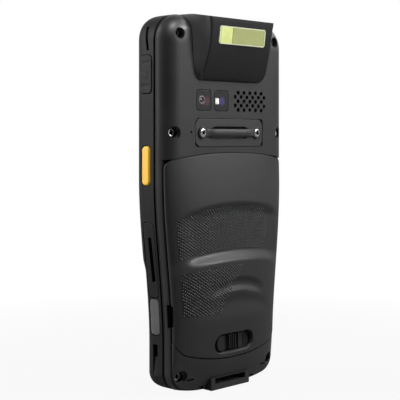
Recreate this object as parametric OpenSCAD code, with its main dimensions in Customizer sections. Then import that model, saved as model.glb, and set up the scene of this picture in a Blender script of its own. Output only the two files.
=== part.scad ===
// Portable barcode data terminal: rugged handheld computer with a scan hood,
// a latched battery cover, side keys, a touch display and a front keypad.
// X is the width, Y runs from the display (-) to the back (+), Z is up.
// Y = 0 is the parting plane of the two housings, Z = 0 the surface it stands on.

/* [Body] */
// Overall height
body_h = 167; // [152:1:190]
// Width of the display end
body_w = 78; // [75:1:92]
// Width of the grip end
grip_w = 66; // [64:0.5:74]
// Depth of the front housing, parting plane to display
front_d = 15.6; // [15:0.1:19]
// Depth of the front housing over the keypad
keypad_d = 13.8; // [13:0.1:14.4]
// Depth of the rear housing's flat upper back
rear_d = 7; // [6.6:0.1:8]
// Wall thickness of the housings
wall = 1.8; // [1.4:0.1:2]
// Corner radius at the top of the body, seen from the front
top_r = 14; // [10:1:16]
// Corner radius at the bottom of the body, seen from the front
bottom_r = 6.5; // [5:0.5:9]
// Edge radius of the rear housing
rear_r = 8; // [7.4:0.2:9]
// Edge radius of the front housing
front_r = 7; // [5:0.5:8]

/* [Display] */
// Width of the cover glass
glass_w = 62; // [54:0.5:63]
// Height of the display's lower edge above the base
glass_z = 61; // [60:1:72]
// Thickness of the cover glass
glass_t = 1.4; // [1:0.1:1.8]
// Thickness of the display module
module_t = 2.4; // [2:0.1:2.6]

/* [Keypad] */
// Width of a number key
key_w = 14.4; // [11:0.2:15]
// Height of a number key
key_h = 6.8; // [5.4:0.2:7]
// Distance between key columns
key_pitch_x = 17.6; // [17:0.1:18]
// Distance between key rows
key_pitch_z = 9.2; // [8.8:0.1:9.4]
// Height of the lowest row's centre above the base
key_z = 11.8; // [11.6:0.1:12.4]
// Height of a key above the housing
key_rise = 0.9; // [0.6:0.1:1.2]
// Travel of a front key
key_travel = 0.5; // [0.3:0.1:0.6]

/* [Battery cover] */
// Distance of the cover's top seam below the top of the body
cover_drop = 60.8; // [58:0.2:64]
// Height of the cover's bottom seam above the base
cover_z = 13.2; // [13:0.2:15]
// Radius of the top seam's arc
cover_top_r = 230; // [180:5:400]
// Radius of the bottom seam's arc
cover_bottom_r = 100; // [90:5:200]
// Depth of the cover's fullest point behind the parting plane
cover_d = 11.9; // [11.6:0.1:13.6]
// Depth of the finger hollows
hollow_d = 2.2; // [1:0.1:2.4]
// Radius of the arcs that the hollows follow
hollow_r = 75; // [65:1:110]
// Width of the battery pack
pack_w = 56; // [46:0.5:57]
// Thickness of the battery pack
pack_t = 7; // [5.6:0.1:7.2]

/* [Latch] */
// Length of the latch recess
latch_l = 24.6; // [22:0.2:28]
// Height of the latch recess
latch_h = 8.4; // [7.4:0.2:9]
// Height of the latch above the base
latch_z = 21; // [20.6:0.1:21.4]
// Travel of the latch
latch_travel = 4; // [3:0.5:4.5]

/* [Scan hood] */
// Height of the scan hood
hood_h = 28.8; // [27:0.2:31]
// Width of the hood's rear face
hood_w = 40.4; // [36:0.4:44]
// Depth of the hood's lip behind the parting plane
hood_d = 15.4; // [14.6:0.1:18]
// Width of the label plate
label_w = 30; // [20:0.5:32]
// Height of the label plate
label_h = 8; // [6:0.2:8.6]

/* [Camera, flash and speaker] */
// Side of the square camera and flash windows
window_s = 9; // [7.4:0.1:9.4]
// Centre of the windows below the top of the body
window_drop = 37.6; // [37:0.1:38.4]
// Width of a speaker hole
speaker_hole = 1.6; // [1:0.1:1.75]
// Distance between speaker holes in a row
speaker_pitch = 3.95; // [3:0.05:4]
// Distance between speaker rows
speaker_row = 1.95; // [1.85:0.05:2.1]

/* [Strap bar] */
// Distance between the strap bar's screws
strap_span = 35.4; // [32:0.2:37]
// Height of the gap under the bar
strap_gap = 3.4; // [2.6:0.1:3.9]
// Width of the bar
strap_bar_h = 3.4; // [2.6:0.1:4]
// Centre of the bar below the top of the body
strap_drop = 52; // [51.6:0.1:52.4]

/* [Side keys and doors] */
// Length of the side scan keys
scan_l = 17.2; // [14:0.2:20]
// Width of the side scan keys
scan_w = 5; // [4:0.1:6]
// Travel of the side scan keys
scan_travel = 0.6; // [0.4:0.1:0.7]
// Length of the volume rocker
rocker_l = 16.8; // [14:0.2:19]
// Width of the volume rocker
rocker_w = 7.2; // [6:0.1:7.6]
// Height of the card door's lower end above the base
door_z = 42.6; // [42:0.2:46]
// Length of the card door
door_l = 33; // [27:0.2:36]
// Width of the card door
door_w = 7.2; // [6:0.1:7.6]
// Length of the port plug
plug_l = 15.8; // [13:0.2:16]
// Width of the port plug
plug_w = 6.6; // [5.6:0.1:7]

/* [Dock] */
// Width of the dock shroud
dock_w = 25; // [22:0.5:28]
// Width of the dock slot
dock_slot_w = 19.6; // [15:0.2:21]
// Height of the dock slot
dock_slot_h = 2.6; // [2:0.1:2.8]

/* [Screws and fits] */
// Diameter of a housing screw's head
screw_head_d = 4.2; // [3.6:0.1:4.6]
// Diameter of a housing screw's shank
screw_d = 2.2; // [1.8:0.1:2.4]
// Gap round a cap or a cover in its opening
gap = 0.25; // [0.2:0.05:0.3]
// Gap between faces that move past each other
slip = 0.1; // [0.05:0.05:0.15]
// Radial clearance of a screw in its post
run = 0.05; // [0.03:0.01:0.08]

/* [Hidden] */
KEY_NODES = [for (row = [1:4], col = [1:3]) str("key_r", row, "c", col)];
$fn = 48;
eps = 0.01;

upper_hw = body_w / 2;
grip_hw = grip_w / 2;
// the sides taper from the display end to the grip between these heights
waist_top = body_h - 69;
waist_bottom = 9;
// the front steps down from the glass to the keypad between these heights
step_top = glass_z - 1.5;
step_bottom = step_top - 6;
// the underside is flat in the middle and rises to the corners
foot_flat = 12;
foot_r = 62;
// depths of the layers behind the display and the keypad
front_wall = keypad_d - wall;
seat_y = -front_d + 0.2 + glass_t;
frame_y = seat_y + 0.1 + module_t;
mat_y = -front_wall + 1.25;
board_y = mat_y + 1.7;
board_t = 1;
// centre depth of the side keys and doors
side_y = -6.4;
side_wall = wall;
hood_z = body_h - hood_h;
cover_edge_y = 4.3;
ledge_y = 4;
pack_y = -0.3;
pack_z = 27;
pack_top = body_h - cover_drop - 8;
bay_w = pack_w + 1;
tub_w = bay_w + 3;
strap_z = body_h - strap_drop;
window_z = body_h - window_drop;
rocker_z = body_h - 26.6;
scan_z = body_h - 66.5;
screws = [[31.1, body_h - 8.9, rear_d], [34, body_h - 52, 5.8], [28.6, 8.4, 3.6]];

shell_grey = [0.26, 0.265, 0.28];
hood_grey = [0.17, 0.17, 0.18];
key_grey = [0.2, 0.2, 0.21];

function smooth(t) = let(c = min(max(t, 0), 1)) c * c * (3 - 2 * c);
function half_w(z) = upper_hw
  - (upper_hw - grip_hw) * smooth((waist_top - z) / (waist_top - waist_bottom));
function foot(x) = pow(max(abs(x) - foot_flat, 0), 2) / (2 * foot_r);

// points of the +X half of the body's outline, inset at the sides and at the ends
function half_outline(side, end) = let(
  rb = max(bottom_r - 0.6 * side, 2.5),
  rt = max(top_r - 0.9 * side, 4),
  xb = grip_hw - side - rb,
  lean = max(xb - foot_flat, 0) / foot_r,
  zb = end + foot(xb),
  z_side = zb + (lean + 1) * rb,
  z_top = body_h - end - rt)
  concat(
    [for (i = [0:3]) let(x = foot_flat + (xb - foot_flat) * i / 4) [x, end + foot(x)]],
    [for (i = [0:5]) let(f = 18 * i)
      [xb + rb * sin(f), zb + lean * rb * sin(f) + rb * (1 - cos(f))]],
    [for (i = [1:11]) let(z = z_side + (waist_top - z_side) * i / 11) [half_w(z) - side, z]],
    [for (i = [0:6]) let(f = 15 * i)
      [upper_hw - side - rt + rt * cos(f), z_top + rt * sin(f)]]);

// solid through rings of the outline; a level is [Y at the display, Y at the keypad,
// inset at the sides, inset at the ends], levels in order of rising Y
module loft(levels) {
  rings = [for (l = levels) [for (p = half_outline(l[2], l[3]))
    [p[0], l[0] + (l[1] - l[0]) * smooth((step_top - p[1]) / (step_top - step_bottom)), p[1]]]];
  n = len(rings[0]);
  last = (len(levels) - 1) * 2 * n;
  points = [for (r = rings) each concat(r, [for (p = r) [-p[0], p[1], p[2]]])];
  loop = concat([for (i = [0:n - 1]) i], [for (i = [n - 1:-1:0]) n + i]);
  sides = [for (k = [0:len(levels) - 2], j = [0:2 * n - 1])
    let(a = 2 * n * k + loop[j], b = 2 * n * k + loop[(j + 1) % (2 * n)])
    each [[a, b, b + 2 * n], [a, b + 2 * n, a + 2 * n]]];
  front = [for (i = [0:n - 2]) [n + i, n + i + 1, i + 1, i]];
  back = [for (i = [0:n - 2]) [last + i, last + i + 1, last + n + i + 1, last + n + i]];
  polyhedron(points, concat(sides, front, back), convexity = 6);
}

// rounded rectangle as a list of points
function rounded(w, h, r, n = 4) = [for (q = [0:3], i = [0:n])
  let(f = 90 * q + 90 * i / n, sx = (q == 0 || q == 3) ? 1 : -1, sy = q < 2 ? 1 : -1)
  [sx * (w / 2 - r) + r * cos(f), sy * (h / 2 - r) + r * sin(f)]];
function disc(d, n = 20) = [for (i = [0:n - 1]) d / 2 * [cos(360 * i / n), sin(360 * i / n)]];

// prism whose shape lies in X and Z, its back face at y
module back_prism(y, t) translate([0, y, 0]) rotate([90, 0, 0]) linear_extrude(t) children();
// prism whose shape lies in Y and Z, from x outwards
module side_prism(x, t) translate([x, 0, 0]) rotate([90, 0, 90]) linear_extrude(t) children();
module block(x0, x1, y0, y1, z0, z1) translate([x0, y0, z0]) cube([x1 - x0, y1 - y0, z1 - z0]);
module at(x, z) translate([x, z]) children();
module plate(w, h, r, n = 4) polygon(rounded(w, h, r, n));
module both_sides() {
  children();
  mirror([1, 0, 0]) children();
}

// inset of the rear housing's rounded edge at depth y
function rear_inset(y) = let(d = y - rear_d + rear_r)
  d <= 0 ? 0 : rear_r - sqrt(rear_r * rear_r - d * d);
function rear_level(y) = let(i = rear_inset(min(y, rear_d - 0.04))) [y, y, i, 0.375 * i];
module rear_outer() loft([for (y = [0, 2, 3.5, 4.6, 5.6, 6.4, rear_d]) rear_level(y)]);

// level of the front housing's rounded edge, t = 90 at the display and 0 at the side
function front_level(t) = let(d = front_r * (1 - sin(t)), i = front_r * (1 - cos(t)))
  [-front_d + d, -keypad_d + d, i, 0.42 * i];
module front_outer() loft(concat([for (t = [90, 66, 45, 22, 0]) front_level(t)], [[0, 0, 0, 0]]));
module front_cavity() loft([
  [-front_wall, -front_wall, front_r - 0.2, wall + 2],
  [-front_wall + 2.2, -front_wall + 2.2, wall + 1.4, wall + 0.6],
  [-front_wall + 4.6, -front_wall + 4.6, wall, wall],
  [1, 1, wall, wall]]);
module rear_cavity(y1) loft([
  [-1, -1, wall, wall],
  [1.8, 1.8, wall + 0.3, wall + 0.2],
  [y1, y1, wall + rear_inset(y1) + 0.8, wall + 0.9]]);

// seams of the battery cover
function corner_drop(x, w, r) = let(d = min(max(abs(x) - w + r, 0), r)) r - sqrt(r * r - d * d);
function cover_hw(z) = half_w(z) - rear_inset(cover_edge_y);
function seam_top(x) = body_h - cover_drop - x * x / (2 * cover_top_r)
  - corner_drop(x, cover_hw(body_h), 4);
function seam_bottom(x) = cover_z + x * x / (2 * cover_bottom_r)
  + corner_drop(x, cover_hw(20), 6);

// middle section of the cover: a long swell with three hollows across it
function trough(z, z1, z0, k) = let(t = (z1 - z) / (z1 - z0))
  (t <= 0 || t >= 1) ? 0 : pow(sin(180 * t), k);
function swell(z) = let(mid = 55, reach = body_h - cover_drop - mid, d = (z - mid) / reach)
  cover_d - (cover_d - rear_d - 0.8) * d * d;
function cover_y(x, z, w) = let(
  u = min(abs(x) / w, 1),
  ze = z + x * x / (2 * hollow_r),
  fade = 1 - smooth((u - 0.7) / 0.25),
  dip = hollow_d * (trough(ze, 84, 58.6, 0.45) + trough(ze, 56.8, 45, 0.7)
    + 0.4 * trough(ze, 44.4, 29, 0.8)),
  crown = pow(1 - pow(u, 3.2), 0.4545))
  cover_edge_y + 0.9 + (swell(z) - dip * fade - cover_edge_y - 0.9) * crown;

// solid under a grid of skin points; rows run up, columns across, the base is flat at y
module grid_solid(skin, y) {
  rows = len(skin);
  cols = len(skin[0]);
  n = rows * cols;
  points = concat([for (r = skin) each r], [for (r = skin) each [for (p = r) [p[0], y, p[2]]]]);
  top = [for (j = [0:rows - 2], i = [0:cols - 2]) let(a = j * cols + i)
    each [[a, a + cols + 1, a + cols], [a, a + 1, a + cols + 1]]];
  base = [for (j = [0:rows - 2], i = [0:cols - 2]) let(a = n + j * cols + i)
    [a, a + cols, a + cols + 1, a + 1]];
  left = [for (j = [0:rows - 2]) let(a = j * cols)
    each [[a, n + a + cols, n + a], [a, a + cols, n + a + cols]]];
  right = [for (j = [0:rows - 2]) let(a = j * cols + cols - 1)
    each [[a, n + a + cols, a + cols], [a, n + a, n + a + cols]]];
  low = [for (i = [0:cols - 2]) [i, n + i, n + i + 1, i + 1]];
  high = [for (i = [0:cols - 2]) let(a = (rows - 1) * cols + i) [a, a + 1, n + a + 1, n + a]];
  polyhedron(points, concat(top, base, left, right, low, high), convexity = 6);
}

// ---- housings ----

function screw_seat(s) = min(s[2] - 3.2, 3.2);
module screw_bores(d, y0, y1) for (s = screws) both_sides()
  back_prism(y1, y1 - y0) at(s[0], s[1]) polygon(disc(d, 16));

glass_h = body_h - 4.6 - glass_z;
module glass_shape(grow = 0) at(0, glass_z + glass_h / 2)
  plate(glass_w + 2 * grow, glass_h + 2 * grow, 4 + grow, 6);
view_w = glass_w - 5;
view_h = glass_h - 10;
view_z = glass_z + 2 + view_h / 2;
module view_shape(grow = 0) at(0, view_z) plate(view_w + 2 * grow, view_h + 2 * grow, 1, 3);
ear_z = body_h - 8;
module ear_shape(grow = 0) at(0, ear_z) plate(14 + 2 * grow, 1.6 + 2 * grow, 0.75, 3);

top_row_z = key_z + 4 * key_pitch_z - 0.2;
module number_shape(grow = 0) plate(key_w + 2 * grow, key_h + 2 * grow, 2 + grow, 3);
module scan_shape(grow = 0) plate(key_w + 1 + 2 * grow, key_h + 0.4 + 2 * grow, key_h / 2 - 0.2 + grow, 5);
// every number and soft key gets the first shape, the scan key the second
module key_places() {
  for (row = [0:3], col = [-1:1]) at(col * key_pitch_x, key_z + row * key_pitch_z) children(0);
  for (col = [-1, 1]) at(col * key_pitch_x, top_row_z) children(0);
  at(0, top_row_z) children(1);
}

module side_shape(w, l, z, r, grow = 0) at(side_y, z) plate(w + 2 * grow, l + 2 * grow, r + grow, 4);
module door_shape(grow = 0) side_shape(door_w, door_l, door_z + door_l / 2, 2, grow);
plug_z = 34;
module plug_shape(grow = 0) side_shape(plug_w, plug_l, plug_z, 2, grow);
module rocker_shape(grow = 0) side_shape(rocker_w, rocker_l, rocker_z, 2, grow);
module scan_key_shape(grow = 0) side_shape(scan_w, scan_l, scan_z, 1.2, grow);
card_z = door_z + door_l / 2;
card_y = board_y + board_t + 1.4;
port_y = board_y + board_t + 1.75;
module card_mouth(grow = 0) at(card_y, card_z) plate(1.6 + 2 * grow, 22 + 2 * grow, 0.3, 2);
module port_mouth(grow = 0) at(port_y, plug_z) plate(3.2 + 2 * grow, 9 + 2 * grow, 1.5, 4);
// what lies within the first shape and outside of a skin of the given depth
module over_skin(depth) difference() {
  side_prism(20, 24) children();
  translate([-depth, 0, 0]) front_outer();
}
// a lid of the given thickness that follows the side of the body
lid_t = 1.2;
module lid() intersection() {
  over_skin(lid_t) children();
  front_outer();
}

module front_housing() color(shell_grey) difference() {
  union() {
    difference() {
      front_outer();
      front_cavity();
    }
    intersection() {
      front_outer();
      union() {
        // posts for the housing screws
        for (s = screws) both_sides() back_prism(0, front_wall + 0.5) at(s[0], s[1])
          polygon(disc(5.4, 12));
        // rails that carry the side switches
        both_sides() block(33.4, 34.4, -front_wall - 0.5, -2.4, scan_z - 12, body_h - 14);
        // solid side behind the card door and the plug
        block(grip_hw - 1.5, upper_hw, side_y - 4.4, -1, plug_z - 10, door_z + door_l + 2);
      }
    }
  }
  // glass recess, view window and ear slot
  back_prism(seat_y, 4) glass_shape(gap);
  back_prism(-8, 8) view_shape(gap);
  back_prism(-8, 8) at(0, ear_z) plate(10, 1, 0.4, 2);
  back_prism(-8, 8) key_places() {
    number_shape(gap);
    scan_shape(gap);
  }
  // side keys, with room for their flanges inside the wall
  side_prism(upper_hw - 4.6, 8) rocker_shape(gap);
  block(34.4, upper_hw - side_wall, side_y - 5, side_y + 5, rocker_z - 5, rocker_z + 5);
  both_sides() side_prism(upper_hw - 4.6, 8) scan_key_shape(gap);
  both_sides() block(34.4, upper_hw - side_wall, side_y - 4.4, side_y + 4.4,
    scan_z - scan_l / 2 - 1.2, scan_z + scan_l / 2 + 1.2);
  // lids: pockets and the mouths behind them
  over_skin(lid_t + 0.1) door_shape(gap);
  over_skin(lid_t + 0.1) plug_shape(gap);
  side_prism(24, 16) card_mouth(0.2);
  side_prism(24, 16) port_mouth(0.15);
  // lanyard slot and thumb ramp below the plug
  translate([grip_hw - 0.9, side_y + 0.1, 19]) rotate([14, 0, 0]) block(-0.2, 4, -1.4, 1.4, -2.6, 2.6);
  translate([grip_hw + 0.9, side_y + 0.2, 11.4]) rotate([9, 0, 0]) rotate([0, 6, 0])
    block(-0.9, 4, -1.3, 1.3, -4, 4);
  // slit beside the hood
  translate([upper_hw - 0.7, side_y + 1, hood_z + 17.6]) rotate([-7.4, 0, 0]) block(0, 4, -0.55, 0.55, -5, 5);
  screw_bores(screw_d + 2 * run, -9, 1);
}

module chin() {
  w = grip_hw - 3.2;
  rows = 7;
  cols = 24;
  grid_solid([for (j = [0:rows]) [for (i = [0:cols]) let(
    u = sin(90 * (2 * i / cols - 1)),
    x = u * w,
    z0 = foot(x) + 1,
    z1 = seam_bottom(x) - 1.6 * gap,
    v = j / rows,
    rise = (swell(cover_z) - 3.1) * sin(90 * pow(v, 0.85)))
    [x, 3 + rise * pow(1 - pow(abs(u) * 0.995, 3), 0.5), z0 + (z1 - z0) * v]]], 2);
}
// everything below the cover's top seam
module below_seam(grow = 0) polygon(concat(
  [for (i = [-12:12]) let(x = upper_hw * i / 12) [x, body_h - cover_drop - x * x / (2 * cover_top_r) + grow]],
  [[upper_hw + 9, 80], [upper_hw + 9, -2], [-upper_hw - 9, -2], [-upper_hw - 9, 80]]));

inlay_w = strap_span + 8.6;
inlay_h = 12.4;
pan_w = strap_span - 10.4;
pan_h = 8.8;
bar_y = rear_d + 0.3;
pan_y = bar_y - strap_gap;
lens_x = 18.1;
windows_x = [16.9, 5.7];
module speaker_holes() for (r = [0:4]) let(n = r % 2 == 0 ? 4 : 5) for (i = [0:n])
  at(-13.3 + (i - n / 2) * speaker_pitch, window_z + (2 - r) * speaker_row)
    plate(speaker_hole, speaker_hole, speaker_hole / 2 - 0.05, 2);

module rear_housing() color(shell_grey) difference() {
  union() {
    difference() {
      rear_outer();
      // hollow behind the hood, the windows and the strap bar
      intersection() {
        rear_cavity(rear_d - wall);
        block(-50, 50, -2, 20, body_h - cover_drop + 1.6, body_h);
      }
      // hollow round the battery tub
      intersection() {
        rear_cavity(ledge_y - 1.4);
        block(-50, 50, -2, 20, 0, body_h - cover_drop - 2.4);
      }
      back_prism(20, 20 - ledge_y) below_seam();
    }
    intersection() {
      rear_outer();
      for (s = screws) both_sides() back_prism(6, 6) at(s[0], s[1]) polygon(disc(6.4, 12));
    }
    chin();
    block(-tub_w / 2, tub_w / 2, pack_y - 1.5, 3.2, pack_z - 2.4, pack_top + 4);
    block(-dock_w / 2, dock_w / 2, 1, rear_d + 0.3, 0, 2.6 + dock_slot_h + 0.3);
    // pan of the strap pocket and the bosses of its screws
    block(-strap_span / 2 - 3, strap_span / 2 + 3, pan_y - 2.3, 6, strap_z - 3.2, strap_z + 3.2);
    block(-pan_w / 2 - 2, pan_w / 2 + 2, pan_y - 2.3, 6, strap_z - pan_h / 2 - 2, strap_z + pan_h / 2 + 2);
  }
  block(-bay_w / 2, bay_w / 2, pack_y, 12, pack_z - 0.5, pack_top + 2.6);
  for (s = screws) both_sides() back_prism(s[2] + 9, 9 + s[2] - screw_seat(s)) at(s[0], s[1])
    polygon(disc(screw_head_d + 0.6, 20));
  screw_bores(screw_d + 0.3, -1, 6);
  back_prism(rear_d + 1, 5) at(0, body_h - 13) plate(26, 17, 2, 3);
  for (x = windows_x) {
    back_prism(rear_d + 1, 2) at(x, window_z) plate(window_s + 0.2, window_s + 0.2, 1.5, 3);
    back_prism(rear_d, 4) at(x, window_z) plate(window_s - 1, window_s - 1, 0.8, 3);
  }
  back_prism(rear_d + 1, 4) speaker_holes();
  // seat, pan and screw holes of the strap inlay
  back_prism(rear_d + 1, 1.8) at(0, strap_z) plate(inlay_w + 0.2, inlay_h + 0.2, 1.2, 3);
  block(-pan_w / 2 - 0.9, pan_w / 2 + 0.9, pan_y - 0.95, 9, strap_z - pan_h / 2 - 0.9, strap_z + pan_h / 2 + 0.9);
  for (x = [-0.5, 0.5]) back_prism(8, 8 - pan_y + 0.8) at(x * strap_span, strap_z) polygon(disc(1.7, 16));
  back_prism(rear_d + 1, 9) at(24.6, strap_z + 0.2) polygon(disc(1.2, 12));
  // dock slot, pry notch of the cover, small notches of the foot
  block(-dock_slot_w / 2, dock_slot_w / 2, 1.2, 9, 2.6, 2.6 + dock_slot_h);
  block(cover_hw(36) - 1.6, 45, ledge_y - 1, 9, 31, 41);
  both_sides() block(21.8, 25.6, 2.6, 8, 6.2, 7);
  both_sides() translate([11.4 + 5, 3.4, 0]) block(-1.7, 1.7, 0, 5, -1, 2.6);
}

// ---- display, keypad and boards ----

module touch_glass() color([0.03, 0.03, 0.035]) difference() {
  back_prism(seat_y, glass_t) glass_shape();
  back_prism(0, 20) ear_shape(0.1);
}
module earpiece() color([0.1, 0.1, 0.1]) difference() {
  back_prism(seat_y, glass_t - 0.3) ear_shape();
  for (i = [-3:3]) back_prism(0, 20) at(i * 1.7, ear_z) plate(0.8, 0.8, 0.3, 2);
}
module display_module() color([0.2, 0.21, 0.22]) back_prism(seat_y + module_t, module_t) view_shape();

frame_holes = [for (x = [-22, 22], z = [glass_z + 12, body_h - 26]) [x, z]];
module mid_frame() color([0.62, 0.63, 0.65]) difference() {
  union() {
    back_prism(frame_y + 1, 1) at(0, view_z) plate(60, view_h - 2, 3, 3);
    for (h = frame_holes) back_prism(board_y, board_y - frame_y - 0.5) at(h[0], h[1]) polygon(disc(5, 16));
  }
  for (x = [-10, 10], z = [view_z - 18, view_z + 14]) back_prism(0, 20) at(x, z) plate(16, 22, 2, 3);
}
module main_board() color([0.08, 0.3, 0.2]) {
  difference() {
    back_prism(board_y + board_t, board_t) at(0, 88) plate(60, 124, 2, 3);
    for (h = frame_holes) back_prism(0, 20) at(h[0], h[1]) polygon(disc(2.4, 12));
  }
  for (c = [[-10, 118, 24, 20], [14, 112, 16, 16], [-8, 78, 26, 18]])
    back_prism(board_y + board_t + 2, 2.2) at(c[0], c[1]) square([c[2], c[3]], center = true);
}
module keypad_board() color([0.1, 0.32, 0.22])
  back_prism(board_y, 0.8) at(0, 30.5) plate(51, 46, 2, 3);
module keypad_mat() color([0.75, 0.75, 0.72]) {
  back_prism(board_y - 0.8, 0.5) at(0, 30.5) plate(52, 47, 2, 3);
  back_prism(board_y - 1.2, board_y - 1.2 - mat_y) key_places() {
    polygon(disc(3, 10));
    polygon(disc(3, 10));
  }
}

module cap_key(x, z, flange = [1.6, 1]) {
  translate([x, 0, z]) {
    back_prism(-front_wall, key_rise + wall) children();
    back_prism(mat_y - key_travel - 0.1, front_wall - slip + mat_y - key_travel - 0.1)
      plate(key_w + flange[0], key_h + flange[1], 2, 3);
    back_prism(-front_wall + 0.2, 0.4) children();
  }
}
module number_key(row, col) color(key_grey)
  cap_key((col - 2) * key_pitch_x, key_z + (4 - row) * key_pitch_z) number_shape();
module key_left() color(key_grey) cap_key(-key_pitch_x, top_row_z) number_shape();
module key_right() color(key_grey) cap_key(key_pitch_x, top_row_z) number_shape();
module key_scan() color([0.85, 0.5, 0.1]) cap_key(0, top_row_z, [2, 1]) scan_shape();

// ---- scan hood ----

function hood_y(z) = rear_d + 0.6
  + (hood_d - rear_d - 0.6) * pow(sin(90 * min(max((z - hood_z) / hood_h, 0), 1)), 0.65);
module hood_raw() {
  zs = [0, 0.02, 0.06, 0.12, 0.2, 0.3, 0.42, 0.56, 0.72, 0.88, 1];
  rings = [for (t = zs) let(
    z = hood_z + hood_h * t,
    y = hood_y(z),
    w = hood_w / 2 + 0.4 - 0.5 * sin(180 * t),
    f = hood_w / 2 + 0.4 + 2.6 * smooth(t * 2) + 3 * smooth((t - 0.86) / 0.14),
    h = y - rear_d)
    [[f, 4.6, z], [f, rear_d, z], [w + 0.4 * (f - w), rear_d + 0.4 * h, z], [w, y - 0.3 * h - 0.1, z],
      [w - 0.9, y - 0.12 * h, z], [w - 2.6, y - 0.03 * h, z], [w - 5.6, y, z]]];
  n = len(rings[0]);
  points = [for (r = rings) each concat(r, [for (p = r) [-p[0], p[1], p[2]]])];
  loop = concat([for (i = [0:n - 1]) i], [for (i = [n - 1:-1:0]) n + i]);
  last = (len(rings) - 1) * 2 * n;
  sides = [for (k = [0:len(rings) - 2], j = [0:2 * n - 1])
    let(a = 2 * n * k + loop[j], b = 2 * n * k + loop[(j + 1) % (2 * n)])
    each [[a, b + 2 * n, b], [a, a + 2 * n, b + 2 * n]]];
  low = [for (i = [0:n - 2]) [i, i + 1, n + i + 1, n + i]];
  high = [for (i = [0:n - 2]) [last + n + i, last + n + i + 1, last + i + 1, last + i]];
  polyhedron(points, concat(sides, low, high), convexity = 6);
}
label_z = hood_z + 19.8;
module on_label() translate([0, hood_y(label_z), label_z]) rotate([-7, 0, 0]) children();
hood_win_y = [9.4, 13.6];
module scan_hood() color(hood_grey) difference() {
  hood_raw();
  rear_outer();
  // hollow for the scan engine
  translate([0, 0, 0]) side_prism(-16, 32) polygon([[4, hood_z + 5], [7.8, hood_z + 5],
    [10.2, hood_z + 10], [12.4, hood_z + 17], [13, body_h - 2.4], [4, body_h - 2.4]]);
  // scan mouth on top and the seat of its window
  block(-14.5, 14.5, hood_win_y[0], hood_win_y[1] - 0.7, body_h - 4, body_h + 1);
  block(-15.6, 15.6, hood_win_y[0] - 0.6, hood_win_y[1], body_h - 1.1, body_h + 1);
  on_label() back_prism(1, 1.65) plate(label_w + 0.2, label_h + 0.2, 1.2, 3);
}
module scan_window() color([0.25, 0.02, 0.03])
  block(-15.5, 15.5, hood_win_y[0] - 0.5, hood_win_y[1] - 0.1, body_h - 1.1, body_h - 0.2);
module scan_engine() color([0.12, 0.12, 0.13]) {
  block(-10.5, 10.5, 2.4, 9.6, body_h - 19, body_h - 5.2);
  block(-10, 10, 7.4, 12.2, body_h - 10, body_h - 2.6);
}
module label_plate() color([0.72, 0.76, 0.45])
  on_label() back_prism(0.15, 0.8) plate(label_w, label_h, 1.2, 3);

// ---- camera, flash, speaker and strap bar ----

module camera_window() color([0.05, 0.05, 0.06]) difference() {
  back_prism(rear_d, 1) at(windows_x[0], window_z) plate(window_s, window_s, 1.4, 4);
  translate([lens_x, 0, window_z]) rotate([-90, 0, 0]) cylinder(d = 4.3, h = 20);
}
module camera_module() color([0.6, 0.6, 0.62]) difference() {
  union() {
    block(windows_x[0] - 4.2, windows_x[0] + 4.2, 0.6, rear_d - wall - 0.1, window_z - 4.2, window_z + 4.2);
    translate([lens_x, 0, window_z]) rotate([-90, 0, 0]) cylinder(d = 4.1, h = rear_d + 0.15);
  }
  translate([lens_x, rear_d - 0.9, window_z]) rotate([-90, 0, 0]) cylinder(d1 = 1.6, d2 = 3.1, h = 1.1);
}
led_at = [8.25, window_z - 0.3];
module flash_window() color([0.05, 0.05, 0.06]) difference() {
  back_prism(rear_d, 1) at(windows_x[1], window_z) plate(window_s, window_s, 1.4, 4);
  back_prism(rear_d + 1, 9) at(led_at[0], led_at[1]) square([2.7, 3], center = true);
}
module flash_led() color([0.95, 0.95, 0.92]) {
  back_prism(rear_d - 0.1, 3) at(led_at[0], led_at[1]) square([2.4, 2.7], center = true);
  block(windows_x[1] - 4, windows_x[1] + 4, 4, rear_d - wall - 0.1, window_z - 4, window_z + 4);
}
module speaker() color([0.15, 0.15, 0.16])
  back_prism(rear_d - wall - 0.1, 3) at(-13.3, window_z) plate(22, 11, 2, 3);

module strap_inlay() color([0.13, 0.13, 0.14]) difference() {
  union() {
    back_prism(rear_d - 0.1, 0.7) at(0, strap_z) plate(inlay_w, inlay_h, 1.1, 3);
    block(-pan_w / 2 - 0.8, pan_w / 2 + 0.8, pan_y - 0.9, rear_d - 0.4, strap_z - pan_h / 2 - 0.8,
      strap_z + pan_h / 2 + 0.8);
  }
  block(-pan_w / 2, pan_w / 2, pan_y, 9, strap_z - pan_h / 2, strap_z + pan_h / 2);
  for (x = [-0.5, 0.5]) back_prism(8, 8) at(x * strap_span, strap_z) polygon(disc(2.2, 16));
}
module strap_bar() color([0.08, 0.08, 0.085]) difference() {
  w = strap_span / 2;
  union() {
    translate([0, 0, strap_z - strap_bar_h / 2]) linear_extrude(strap_bar_h) polygon([
      [-w, rear_d - 0.1], [2.4 - w, rear_d - 0.1], [3.2 - w, bar_y], [w - 3.2, bar_y],
      [w - 2.4, rear_d - 0.1], [w, rear_d - 0.1], [w, rear_d + 0.8], [w - 2.4, rear_d + 0.8],
      [w - 4, bar_y + 1.4], [4 - w, bar_y + 1.4], [2.4 - w, rear_d + 0.8], [-w, rear_d + 0.8]]);
    for (x = [-w, w]) translate([x, rear_d - 0.1, strap_z]) rotate([-90, 0, 0]) cylinder(d = 5.4, h = 0.9);
  }
  for (x = [-w, w]) translate([x, 0, strap_z]) rotate([-90, 0, 0]) {
    cylinder(d = 2.2, h = 20);
    translate([0, 0, rear_d + 0.2]) cylinder(d = 4.1, h = 9);
  }
}
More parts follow.
